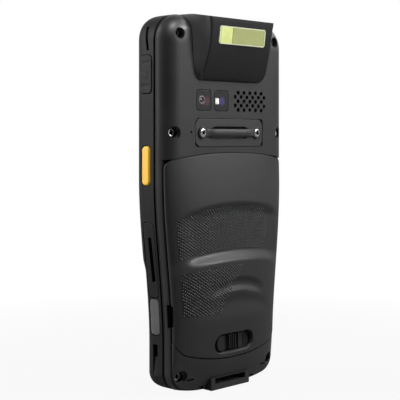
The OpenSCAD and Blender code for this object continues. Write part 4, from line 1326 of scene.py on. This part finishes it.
def on_label(form, piece):
    """Moves a piece made about the origin onto the hood's label seat."""
    z = form.hood_z + LABEL_RISE
    turn = Matrix.Rotation(math.radians(-7), 4, "X")
    piece.data.transform(Matrix.Translation(Vector((0, hood_y(form, z), z)) * MM) @ turn)
    return piece


class TERMINAL_OT_label(TerminalStep, bpy.types.Operator):
    """Blank two-tone film label on the hood"""

    bl_idname = "terminal.label"
    bl_label = "Label"

    def build(self, form):
        h = form.h
        levels = [(-0.65, 0)] + soft_edge(0.15, 0.12, 3)
        plate = on_label(form, prism("label_film", pad(h.label_width, h.label_height, 1.2), (0, 0),
                                     levels))
        settle(plate, "label", HOUSING, ["label_plate"], "label")


def cover_skin(form, rows, cols, rim=0.3):
    """Grid over the cover's outer face, with rounded edges at the seams."""
    c = form.c
    skin = []
    for v in rows:
        row = []
        for s in span(-1, 1, cols):
            u = math.sin(math.radians(90 * s))
            z_near = c.foot + (form.seam_z - c.foot) * v
            x0 = u * (form.cover_hw(z_near) - 0.1)
            top, low = form.seam_top(x0) - form.b.gap, form.seam_bottom(x0)
            z = low + (top - low) * v
            w = form.cover_hw(z) - 0.1
            x = u * w
            y = form.cover_y(x, z, w)
            near = min((top - low) * (1 - v), (top - low) * v)
            if near < rim:
                y -= (rim - math.sqrt(rim * rim - (rim - near) ** 2)) * (y - form.cover_edge_y) / 6
            row.append((x, y, z))
        skin.append(row)
    return skin


class TERMINAL_OT_battery_cover(TerminalStep, bpy.types.Operator):
    """Battery cover: swell, finger hollows, crest and the latch recess"""

    bl_idname = "terminal.battery_cover"
    bl_label = "Battery cover"

    def build(self, form):
        c = form.c
        tall = form.seam_z - c.foot
        near = [0.0, 0.1, 0.25, 0.45]
        rows = [d / tall for d in near] + span(0.9 / tall, 1 - 0.9 / tall,
                                               150) + [1 - d / tall for d in reversed(near)]
        skin = cover_skin(form, rows, 88)
        cover = put("battery_lid",
                    gridded("battery_lid", skin, lambda p: (p[0], form.cover_edge_y, p[2])))
        pack_top = form.seam_z - PACK_DROP
        floor = form.swell(c.latch_height) - 2.4
        tools = [block("pocket", -29.4, 29.4, 0, 5.6, 26, pack_top + 3),
                 block("pocket", -26, 26, 0, 7.1, 27, pack_top - 3),
                 block("under_latch", -14, 14, 0, floor - 1.2, 15, 27)]
        surface = form.swell(c.latch_height)
        rings = []
        for i in range(8):
            depth = floor if i == 0 else surface - 1.9 + 2.3 * (i - 1) / 6
            grow = 0 if i == 0 else 1.3 * ((i - 1) / 6) ** 1.6
            drop = 0 if i == 0 else 0.9 * ((i - 1) / 6) ** 1.3
            outline = rounded(c.latch_length + 2 * grow - 0.6, c.latch_width - 0.6 + 2 * grow,
                              3.85 + grow, 10)
            rings.append([(u, depth, c.latch_height - drop + v) for u, v in outline])
        rings.append([(x, 20, z) for x, _, z in rings[-1]])
        tools.append(solid("recess", rings))
        slider = c.latch_length - 4 - 3.4
        tools += [prism("slot", pad(slider, 3.4, 0.4, 3), (c.latch_place - 2, c.latch_height),
                        [(0, 0), (20, 0)]),
                  block("notch", form.cover_hw(36) - 1.2, 45, 0, form.cover_edge_y + 0.9, 30.6,
                        39.8)]
        cut(cover, *tools)
        # The latch recess is marked hollow; the cover's finish paints it near black, as painted
        # shade.
        mark(cover, "hollow", lambda x, y, z: abs(z - c.latch_height) < 4.5 and abs(x) < 13
             and 5 < y < surface - 1.6)
        # Marks the ground between the grip pips for its painted shade.
        mark(cover, "sunk", lambda x, y, z: y > 5 and form.gripped(x, z))
        settle(cover, "cover", "cover", ["battery_cover"], "cover_shell")


class TERMINAL_OT_grip_pips(TerminalStep, bpy.types.Operator):
    """Fine grip pips in the hollows of the battery cover"""

    bl_idname = "terminal.grip_pips"
    bl_label = "Grip pips"

    def build(self, form):
        c = form.c

        def skin(x, z):
            return form.cover_y(x, z, form.cover_hw(z) - 0.1)

        places = []
        rows = int((84 - 33) / c.pip_pitch_z)
        for j in range(rows):
            for i in range(-24, 25):
                x = (i + 0.5 * (j % 2)) * c.pip_pitch_x
                z = 33.5 + j * c.pip_pitch_z - form.arc(x, c.hollow_arc)
                if not form.gripped(x, z):
                    continue
                y = skin(x, z)
                slope_x = (skin(x + 0.1, z) - skin(x - 0.1, z)) / 0.2
                slope_z = (skin(x, z + 0.1) - skin(x, z - 0.1)) / 0.2
                way = Vector((-slope_x, 1, -slope_z)).normalized()
                places.append(((x, y - 0.02, z), tuple(way)))
        r, high, n = c.pip_radius, c.pip_height, CAP_TURNS
        rings = [[(r * 1.15 * math.cos(a), r * 1.15 * math.sin(a), -0.03)
                  for a in span(0, 2 * math.pi, CAP_TURNS)[:-1]],
                 [(r * 0.6 * math.cos(a), r * 0.6 * math.sin(a), high * 0.8)
                  for a in span(0, 2 * math.pi, CAP_TURNS)[:-1]]]
        pip = mesh_of("pip", [p for ring in rings for p in ring] + [(0, 0, high)],
                      skin_faces(2, n, True) + [(n + i, n + (i + 1) % n, 2 * n)
                                                for i in range(n)] + [tuple(range(n))])
        # The pips' finish is lighter than the cover's: painted light.
        pips = repeated("grip_pips", places, put("pip", pip), "pips", spread=0.08)
        pips.data.shade_smooth()
        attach(pips, "cover")


class TERMINAL_OT_latch(TerminalStep, bpy.types.Operator):
    """Latch slider with thumb pads and ribs"""

    bl_idname = "terminal.latch"
    bl_label = "Latch"

    def build(self, form):
        c = form.c
        floor = form.swell(c.latch_height) - 2.4
        slider = c.latch_length - 4 - 3.4
        place = (c.latch_place, c.latch_height)
        levels = [(floor + 0.1, 0.25), (floor + 0.25, 0)] + soft_edge(floor + 2.0, 0.6, 5)
        latch = prism("latch_slider", pad(slider, c.latch_width - 1.7, 3.0, 10), place, levels)
        join(latch, prism("stem", pad(slider - 4.2, 3.2, 0.3, 3), place,
                          [(floor - 1.6, 0), (floor + 0.3, 0)]),
             prism("keeper", pad(slider - 2, 6.4, 1, 4), place,
                   [(floor - 2.3, 0), (floor - 1.3, 0)]))
        tools = []
        for x, w, low in ((2.5, 2.9, 0.5), (-0.1, 0.6, 1.2), (-1.25, 0.6, 1.2), (-2.4, 0.6, 1.2),
                          (-4.2, 1.3, 0.75),
                          (5.7, 4.4, 1.7), (-6.7, 2.4, 1.7)):
            ring = lambda inset, w=w: rounded(w - 2 * inset, 10, 0.3, 3)
            tools.append(prism("groove", ring, (place[0] + x, place[1]),
                               [(floor + low, 0.0), (floor + 1.9, -0.08), (floor + 3, -0.35)]))
        cut(latch, *tools)
        settle(latch, "satin", "latch", ["battery_latch"], "black_trim", angle=28)


class TERMINAL_OT_camera_and_flash(TerminalStep, bpy.types.Operator):
    """Camera and flash windows, lens ring, lens and LED"""

    bl_idname = "terminal.camera_and_flash"
    bl_label = "Camera and flash"

    def build(self, form):
        rd, z = form.b.rear_depth, form.window_z
        lens_x = 18.1
        levels = [(rd - 1, 0), (rd - 0.28, 0)] + soft_edge(rd - 0.02, 0.22, 3)
        window = prism("camera_glass", pad(9, 9, 1.4), (16.9, z), levels)
        cut(window, prism("eye", round_pad(4.3, 40), (lens_x, z), [(0, 0), (20, 0)]))
        settle(window, "camera_window", HOUSING, ["camera_window"], "black_lens")
        ring = [(0.6, 0), (rd - 0.2, 0)] + soft_edge(rd + 0.15, 0.3, 3)
        ring += [(rd + 0.15, 0.55), (rd - 0.05, 0.75), (rd - 0.9, 1.05), (rd - 0.9, 1.6)]
        barrel = prism("lens_barrel", round_pad(4.1, 40), (lens_x, z), ring)
        module = block("camera_block", 12.7, 21.1, 0.6, rd - 1.9, z - 4.2, z + 4.2)
        join(barrel, module)
        settle(barrel, "ring", HOUSING, ["camera_module"], "lens_ring")
        dome = [(rd - 0.92, 0), (rd - 0.6, 0.02), (rd - 0.38, 0.35), (rd - 0.28, 0.75),
                (rd - 0.26, 0.95)]
        settle(prism("lens_dome", round_pad(2.1, 32), (lens_x, z), dome), "lens", HOUSING,
               slot="black_lens")
        led = (8.25, z - 0.3)
        window = prism("flash_glass", pad(9, 9, 1.4), (5.7, z), levels)
        cut(window, prism("led_hole", pad(2.7, 3.0, 0.3, 3), led, [(0, 0), (20, 0)]))
        settle(window, "flash_window", HOUSING, ["flash_window"], "black_lens")
        diffuser = prism("flash_diffuser", pad(2.4, 2.7, 0.3, 4), led,
                         [(rd - 3.1, 0)] + soft_edge(rd - 0.1, 0.2, 3))
        base = block("flash_base", 1.7, 9.7, 4, rd - 1.9, z - 4, z + 4)
        settle(join(diffuser, base), "led", HOUSING, ["flash_led"], "led")


def dish_y(rd, pan_y, x, v):
    """Depth of the soft hollow under the strap bar, v up from its middle."""
    round_x = smooth((12.5 - abs(x)) / 3.6)
    round_z = smooth((3.2 - abs(v)) / 2.2)
    return rd + 0.1 + (pan_y - rd - 0.1) * min(round_x, 1) * round_z


class TERMINAL_OT_strap_bar(TerminalStep, bpy.types.Operator):
    """Strap bar on its inlay, with two pan head screws"""

    bl_idname = "terminal.strap_bar"
    bl_label = "Strap bar"

    def build(self, form):
        rd, z = form.b.rear_depth, form.strap_z
        bar_y = rd + 0.3
        pan_y = bar_y - PAN_DROP
        levels = [(rd - 0.8, 0), (rd - 0.3, 0)] + soft_edge(rd - 0.1, 0.2, 3)
        inlay = prism("strap_plate", pad(44, 12.4, 3.4), (0, z), levels)
        join(inlay, prism("tray", pad(26.6, 10.4, 0.8, 4), (0, z),
                          [(pan_y - 0.9, 0), (rd - 0.4, 0)]))
        dish = [[(x, dish_y(rd, pan_y, x, v), z + v) for x in span(-12.6, 12.6, 42)]
                for v in span(-4.6, 4.6, 24)]
        tools = [put("dish", gridded("dish", dish, lambda p: (p[0], 10, p[2])))]
        tools += [prism("bore", round_pad(2.2, 20), (x, z), [(0, 0), (9, 0)])
                  for x in (-STRAP_X, STRAP_X)]
        cut(inlay, *tools)
        settle(inlay, "inlay", HOUSING, ["strap_inlay"], "inlay")

        w = STRAP_X
        rings = []
        for x in span(-w, w, 90):
            near = abs(x)
            low = rd - 0.1 + (bar_y - rd + 0.1) * smooth((w - 2.2 - near) / 1.6)
            high = rd + 0.75 + (bar_y + 1.7 - rd - 0.75) * smooth((w - 2.0 - near) / 5.4)
            wide = 3.4 + 0.4 * (1 - smooth((w - 2.0 - near) / 1.5))
            rings.append([(x, (low + high) / 2 + (high - low) / 2 * math.sin(a),
                           z + wide / 2 * math.cos(a))
                          for a in span(0, 2 * math.pi, 36)[:-1]])
        bar = solid("strap_rod", rings)
        feet = [prism("foot", round_pad(5.4, 40), (x, z),
                      [(rd - 0.1, 0)] + soft_edge(rd + 0.8, 0.25, 3)) for x in (-w, w)]
        join(bar, *feet)
        tools = []
        for x in (-w, w):
            tools += [prism("shank", round_pad(2.2, 20), (x, z), [(0, 0), (20, 0)]),
                      prism("seat", round_pad(4.1, 36), (x, z), [(rd + 0.2, 0), (20, 0)])]
        cut(bar, *tools)
        settle(bar, "black", HOUSING, ["strap_bar"], "bar")

        head = screw_shape("pan", 3.9, 0.62, 1.6, 2.0, rd + 1 - pan_y)
        screws = repeated("strap_screw_pair", [((x, rd + 0.2, z), (0, 1, 0)) for x in (-w, w)],
                          head, "steel")
        settle(screws, "steel", HOUSING, ["strap_screws"], "bright_steel")


def screw_shape(name, head_d, head_h, drive_d, shank_d, shank_l):
    """Pan head screw with a six-lobed drive, head up along Z from its seat."""
    n = 48
    rings = [[(x, y, -shank_l) for x, y in disc(shank_d, n)],
             [(x, y, 0.0) for x, y in disc(shank_d, n)],
             [(x, y, 0.0) for x, y in disc(head_d, n)], [(x, y, head_h * 0.45) for x,
                                                         y in disc(head_d, n)]]
    for a in (25, 50, 72):
        r = math.radians(a)
        rings.append([(x, y, head_h * (0.45 + 0.55 * math.sin(r))) for x,
                      y in disc(head_d * (0.72 + 0.28 * math.cos(r)), n)])
    lobes = [drive_d / 2 * (1 + 0.16 * math.cos(6 * 2 * math.pi * i / n)) for i in range(n)]

    def lobed(scale, z):
        return [(q * scale * math.cos(2 * math.pi * i / n),
                 q * scale * math.sin(2 * math.pi * i / n), z) for i, q in enumerate(lobes)]

    rings += [lobed(1.2, head_h), lobed(1.05, head_h - 0.06), lobed(1.0, head_h - 0.95),
              lobed(0.6, head_h - 1.0)]
    # The drive socket is marked hollow; the metal finishes paint it near black, as painted shade.
    return mark(solid(name, rings), "hollow", lambda x, y, z: math.hypot(x, y) < drive_d * 0.62
                and head_h - 1.1 < z < head_h - 0.03)


class TERMINAL_OT_housing_screws(TerminalStep, bpy.types.Operator):
    """Six zinc plated housing screws deep in their bores"""

    bl_idname = "terminal.housing_screws"
    bl_label = "Housing screws"

    def build(self, form):
        places = [((sx * x, min(y - 3.2, 2.4), z), (0, 1, 0)) for x, z,
                  y in form.screws for sx in (1, -1)]
        head = screw_shape("cap", 4.2, 1.6, 1.9, 2.2, 8.0)
        screws = repeated("case_screws", places, head, "zinc")
        settle(screws, "zinc", HOUSING, ["housing_screws"], "dark_steel")


class TERMINAL_OT_side_keys(TerminalStep, bpy.types.Operator):
    """Scan keys on both sides and the volume rocker"""

    bl_idname = "terminal.side_keys"
    bl_label = "Side keys"

    def build(self, form):
        b = form.b
        flange = b.half_width - b.wall - 0.12
        scan_z, rocker_z = b.height - SCAN_DROP, b.height - ROCKER_DROP
        for name, node, body, sx in (("scan_cap_right", "scan_key_right", "right_scan_key", 1),
                                     ("scan_cap_left", "scan_key_left", "left_scan_key", -1)):
            levels = [(flange - 0.4, 0)] + soft_edge(b.half_width + 0.7, 0.95, 7)
            rings = outward(pad(4.9, 17.1, 1.9, 10), (form.side_y, scan_z), levels, side)
            foot = outward(pad(6.8, 18.8, 1, 4), (form.side_y, scan_z),
                           [(flange - 0.7, 0), (flange, 0)], side)
            if sx < 0:
                rings, foot = ([[(-x, y, z) for x, y, z in ring] for ring in part]
                               for part in (rings, foot))
            key = join(solid(name, rings), solid("foot", foot))
            settle(key, "scan_key", body, [node], "orange_key")
        levels = [(flange - 0.4, 0)] + soft_edge(b.half_width + 0.38, 0.35, 4)
        rocker = prism("rocker_cap", pad(7.2, 16.8, 2, 8), (form.side_y, rocker_z), levels, side)
        nub = prism("nub", pad(3.4, 3.4, 0.8, 6), (form.side_y - 0.2, rocker_z),
                    [(b.half_width, 0)] + soft_edge(b.half_width + 0.48, 0.3,
                                                    4), side)
        foot = prism("foot", pad(9, 5, 1, 4), (form.side_y, rocker_z),
                     [(flange - 0.7, 0), (flange, 0)], side)
        join(rocker, nub, foot)
        tools = []
        for s in (-1, 1):
            arc = [(b.half_width + 6.76 + x, rocker_z + 5.1 * s + z) for x, z in disc(13, 72)]
            tools.append(solid("dish",
                               [[(x, y, z) for x, z in arc]
                                for y in (form.side_y - 2.4, form.side_y + 2.4)]))
        cut(rocker, *tools)
        settle(rocker, "side", "rocker", ["volume_rocker"], "key_rubber")


class TERMINAL_OT_side_lids(TerminalStep, bpy.types.Operator):
    """Card door and port lid, flush with the side"""

    bl_idname = "terminal.side_lids"
    bl_label = "Side lids"

    def build(self, form):
        door = fitted_lid(form, "card_lid", *CARD_LID, 1.2)
        slit = solid("slit", [[(x, form.side_y + 0.75 + 0.4 * t + 1.1 * s, z)
                               for t, s, z in ((-1, -1, 69), (-1, 1, 69.4), (1, 1, 50),
                                               (1, -1, 49.6))] for x in (20, 45)])
        core = solid("core", [[(form.side_x(form.side_y, z) - 1.05, y, z) for y,
                               z in ((-12, zz), (0, zz))]
                              + [(20, 0, zz), (20, -12, zz)] for zz in span(45, 75,
                                                                            12) for z in (zz,)])
        cut(slit, core)
        cut(door, slit)
        # The slit's inner faces are marked hollow; the finish paints them near black, as painted
        # shade.
        mark(door, "hollow", lambda x, y, z: form.side_x(y, z) - x > 0.7)
        settle(door, "side", "door", ["card_door"], "door_rubber")
        lid = fitted_lid(form, "port_lid", *PORT_LID, 1.2, edge=0.45)
        plug = outward(pad(2.2, 7.0, 1, 6), (-6.3, PORT_LID[2]),
                       [(30.8, 0.2), (31.0, 0), (33.4, 0)], side)
        join(lid, solid("plug", plug))
        settle(lid, "rubber", "plug", ["usb_cover"], "door_rubber")


class TERMINAL_OT_front_keys(TerminalStep, bpy.types.Operator):
    """Number keys, soft keys and the front scan key, with their legends"""

    bl_idname = "terminal.front_keys"
    bl_label = "Front keys"

    def legend(self, text, x, y, z, high):
        """Raised ink of one character, facing the front."""
        curve = bpy.data.curves.new("legend", "FONT")
        curve.body = text
        curve.size = high * MM
        curve.align_x, curve.align_y = "CENTER", "CENTER"
        curve.extrude = 0.03 * MM
        curve.resolution_u = 3
        holder = put("legend", curve)
        mesh = evaluated(holder)
        bpy.data.objects.remove(holder)
        mesh.transform(Matrix.Translation(Vector((x, y, z)) * MM) @ Matrix.Rotation(math.pi / 2, 4,
                                                                                    "X"))
        return put("legend", mesh)

    def build(self, form):
        b = form.b
        face = -b.keypad_depth - 0.9
        front = b.keypad_depth - b.wall
        for node, w, h, r, (x, z), flange, paint, slot, text in front_keys():
            name = "cap_" + (node.removeprefix("key_") if text else node)
            levels = [(-front + 0.2, 0), (-b.keypad_depth, 0)] + [(-v, i) for v,
                                                                  i in soft_edge(-face, 0.5, 4)]
            levels += [(face + 0.08, 1.4), (face + 0.16, 2.6)]
            key = prism(name, pad(w, h, r, 8), (x, z), levels)
            join(key, prism("foot", pad(14.4 + flange, 7.8, 2, 4), (x, z),
                            [(-front + 0.65, 0), (-front + 0.1, 0)]))
            settle(key, paint, node + "_body", [node], slot)
            if text:
                ink = self.legend(text, x, face + 0.14, z, 4.6)
                ink.name = "legend_" + name
                settle(ink, "legend", node + "_body", slot=slot, angle=40)


class TERMINAL_OT_display(TerminalStep, bpy.types.Operator):
    """Cover glass with its black border, and the earpiece mesh"""

    bl_idname = "terminal.display"
    bl_label = "Display"

    def build(self, form):
        b = form.b
        outer = -b.front_depth + 0.2
        h = b.height - 4.6 - DISPLAY_FOOT
        z = DISPLAY_FOOT + h / 2
        levels = [(outer + 1.4, 0), (outer + 0.25, 0)] + [(-v, i) for v,
                                                          i in soft_edge(-outer, 0.25, 3)]
        glass = prism("display_glass", pad(62, h, 4, 10), (0, z), levels)
        cut(glass, prism("ear", pad(14.2, 1.8, 0.85, 6), (0, b.height - 8), [(-20, 0), (0, 0)]))
        settle(glass, "display", HOUSING, ["touch_glass"], "cover_glass")
        levels = [(outer + 1.4, 0)] + [(-v, i) for v, i in soft_edge(-outer - 0.2, 0.15, 2)]
        ear = prism("ear_mesh", pad(14, 1.6, 0.75, 6), (0, b.height - 8), levels)
        holes = [prism("hole", pad(0.8, 0.8, 0.39, 3), (1.7 * i, b.height - 8),
                       [(-20, 0), (-14.5, 0)]) for i in range(-3, 4)]
        cut(ear, *holes)
        settle(ear, "satin", HOUSING, ["earpiece"], "black_trim")


class TERMINAL_OT_dock_contacts(TerminalStep, bpy.types.Operator):
    """Spring contact strips in the dock slot"""

    bl_idname = "terminal.dock_contacts"
    bl_label = "Dock contacts"

    def build(self, form):
        strip = solid("strip", [[(x, y, z) for x, y in rounded(0.9, 1.1, 0.15, 3)]
                                for z in (0.0, 1.2)]
                      + [[(x * 0.8, y * 0.8, 1.5) for x, y in rounded(0.9, 1.1, 0.15, 3)]])
        places = [((2.1 * i + 1.05, 2.1, 3.85), (0, 1, 0)) for i in range(-4, 4)]
        strips = repeated("dock_strips", places, strip, "gold")
        settle(strips, "gold", HOUSING, slot="gold")


class TERMINAL_OT_inner_pieces(TerminalStep, bpy.types.Operator):
    """Finishes of the pieces inside, which keep their CAD shape"""

    bl_idname = "terminal.inner_pieces"
    bl_label = "Inner pieces"

    def build(self, form):
        for finish_name, nodes in {
            "display": "display_module", "sheet": "mid_frame card_reader usb_port",
            "board": "main_board keypad_board", "mat": "keypad_mat",
            "satin": "scan_engine dock_contacts", "gauze": "speaker", "battery": "battery_pack",
            "gold": "battery_contacts", "flex": "side_switches",
        }.items():
            for node in nodes.split():
                coat(node, finish_name)


class TERMINAL_OT_stage(TerminalStep, bpy.types.Operator):
    """Pale floor, lamps and camera"""

    bl_idname = "terminal.stage"
    bl_label = "Stage"

    def lamp(self, name, place, aim, size, power, spread=180):
        light = bpy.data.lights.new(name, "AREA")
        light.shape = "RECTANGLE"
        light.size, light.size_y = size
        light.energy = power
        light.spread = math.radians(spread)
        made = bpy.data.objects.new(name, light)
        made.location = place
        made.rotation_euler = (Vector(aim) - Vector(place)).to_track_quat("-Z", "Y").to_euler()
        bpy.context.scene.collection.objects.link(made)

    def floor(self):
        """White to the camera far off; near the object the shading and soft shadow show."""
        paint = Paint("floor_paint", roughness=0.9, specular_ior_level=0.1)
        paint.set("Base Color", bpy.context.scene.terminal_colours.floor)
        x, y, _ = paint.place()
        far = paint.spread(x * x + y * y, 0.01, 0.09)
        seen = (paint.ray("Camera") * (0.92 + far * 0.08)).most(paint.ray("Glossy") * 0.1)
        white = paint.node("ShaderNodeEmission", inputs={"Color": WHITE, "Strength": 1.0})
        shown = paint.mix_shader(seen.most(paint.ray("Transmission")),
                                 Field(paint, paint.shader.outputs[0]), white)
        output = next(n for n in paint.tree.nodes if n.type == "OUTPUT_MATERIAL")
        paint.tree.links.new(shown.socket, output.inputs["Surface"])
        mesh = bpy.data.meshes.new("floor")
        r = 6.0
        low = -0.00002
        mesh.from_pydata([(-r, -r, low), (r, -r, low), (r, r, low), (-r, r, low)], [],
                         [(0, 1, 2, 3)])
        mesh.materials.append(paint.material)
        put("floor", mesh)

    def world(self, strength):
        """White to the camera and to glass; gloss sees a white wall and a dim room."""
        world = bpy.data.worlds.new("studio")
        world.use_nodes = True
        bpy.context.scene.world = world
        world.node_tree.nodes.clear()
        nodes = Nodes(world.node_tree)

        def background(level):
            return nodes.node("ShaderNodeBackground", inputs={"Color": WHITE, "Strength": level})

        way = nodes.node("ShaderNodeTexCoord", output="Generated")
        wall = nodes.node("ShaderNodeVectorMath", {"operation": "DOT_PRODUCT"},
                          {0: way, 1: (-0.66, -0.66, -0.36)}, "Value")
        room = nodes.mix_shader(nodes.ray("Glossy"), background(strength),
                                background(nodes.spread(wall, 0.05, 0.6)))
        seen = nodes.ray("Camera").most(nodes.ray("Transmission"))
        nodes.node("ShaderNodeOutputWorld",
                   inputs={"Surface": nodes.mix_shader(seen, room, background(1.0))},
                   output=None)

    def around(self, turn, rise, distance):
        """Place of a lamp: turn is measured from the camera's direction towards its right."""
        t, e = math.radians(45 + turn), math.radians(rise)
        way = Vector((math.cos(e) * math.cos(t), math.cos(e) * math.sin(t), math.sin(e)))
        return Vector((0, 0, 0.11)) + distance * way

    def build(self, form):
        s = bpy.context.scene.terminal_studio
        self.floor()
        self.world(s.ambient)
        aim = (0, 0, 0.09)
        self.lamp("right_softbox", self.around(80, 26, 0.8), (0, 0, 0.18), (0.22, 0.3),
                  s.right_lamp, 80)
        self.lamp("left_softbox", self.around(-90, 20, 0.9), aim, (0.32, 0.75), s.left_lamp)
        self.lamp("crest_softbox", self.around(114, 44, 0.75), aim, (0.3, 0.25), s.crest_lamp)
        self.lamp("top_softbox", self.around(26, 58, 0.75), (0, 0, 0.15), (0.16, 0.16), s.top_lamp)
        camera = bpy.data.cameras.new("camera")
        camera.lens = s.lens
        camera.sensor_width = 36
        camera.shift_y = s.rise
        camera.clip_start, camera.clip_end = 0.01, 50
        made = bpy.data.objects.new("camera", camera)
        made.location = s.camera
        made.rotation_euler = (math.pi / 2, 0, s.turn)
        bpy.context.scene.collection.objects.link(made)
        bpy.context.scene.camera = made
        bpy.context.scene.view_settings.view_transform = "Standard"


class TERMINAL_PT_panel(bpy.types.Panel):
    """Lists the sizes, colours and steps of the terminal."""

    bl_idname = "TERMINAL_PT_panel"
    bl_label = "Barcode data terminal"
    bl_space_type = "VIEW_3D"
    bl_region_type = "UI"
    bl_category = "Terminal"

    def draw(self, context):
        for name, group in SETTINGS.items():
            box = self.layout.box()
            box.label(text=group.__doc__)
            for key in group.__annotations__:
                box.prop(getattr(context.scene, name), key)
        for step in STEPS:
            self.layout.operator(step.bl_idname)


STEPS = (
    TERMINAL_OT_front_housing,
    TERMINAL_OT_rear_housing,
    TERMINAL_OT_scan_hood,
    TERMINAL_OT_label,
    TERMINAL_OT_battery_cover,
    TERMINAL_OT_grip_pips,
    TERMINAL_OT_latch,
    TERMINAL_OT_camera_and_flash,
    TERMINAL_OT_strap_bar,
    TERMINAL_OT_housing_screws,
    TERMINAL_OT_side_keys,
    TERMINAL_OT_side_lids,
    TERMINAL_OT_front_keys,
    TERMINAL_OT_display,
    TERMINAL_OT_dock_contacts,
    TERMINAL_OT_inner_pieces,
    TERMINAL_OT_stage,
)
CLASSES = tuple(SETTINGS.values()) + STEPS + (TERMINAL_PT_panel,)


def register():
    for item in CLASSES:
        bpy.utils.register_class(item)
    for name, group in SETTINGS.items():
        setattr(bpy.types.Scene, name, bpy.props.PointerProperty(type=group))


def unregister():
    for name in SETTINGS:
        delattr(bpy.types.Scene, name)
    for item in reversed(CLASSES):
        bpy.utils.unregister_class(item)


def main():
    register()
    for step in STEPS:
        area, action = step.bl_idname.split(".")
        getattr(getattr(bpy.ops, area), action)()


if __name__ == "__main__":
    main()
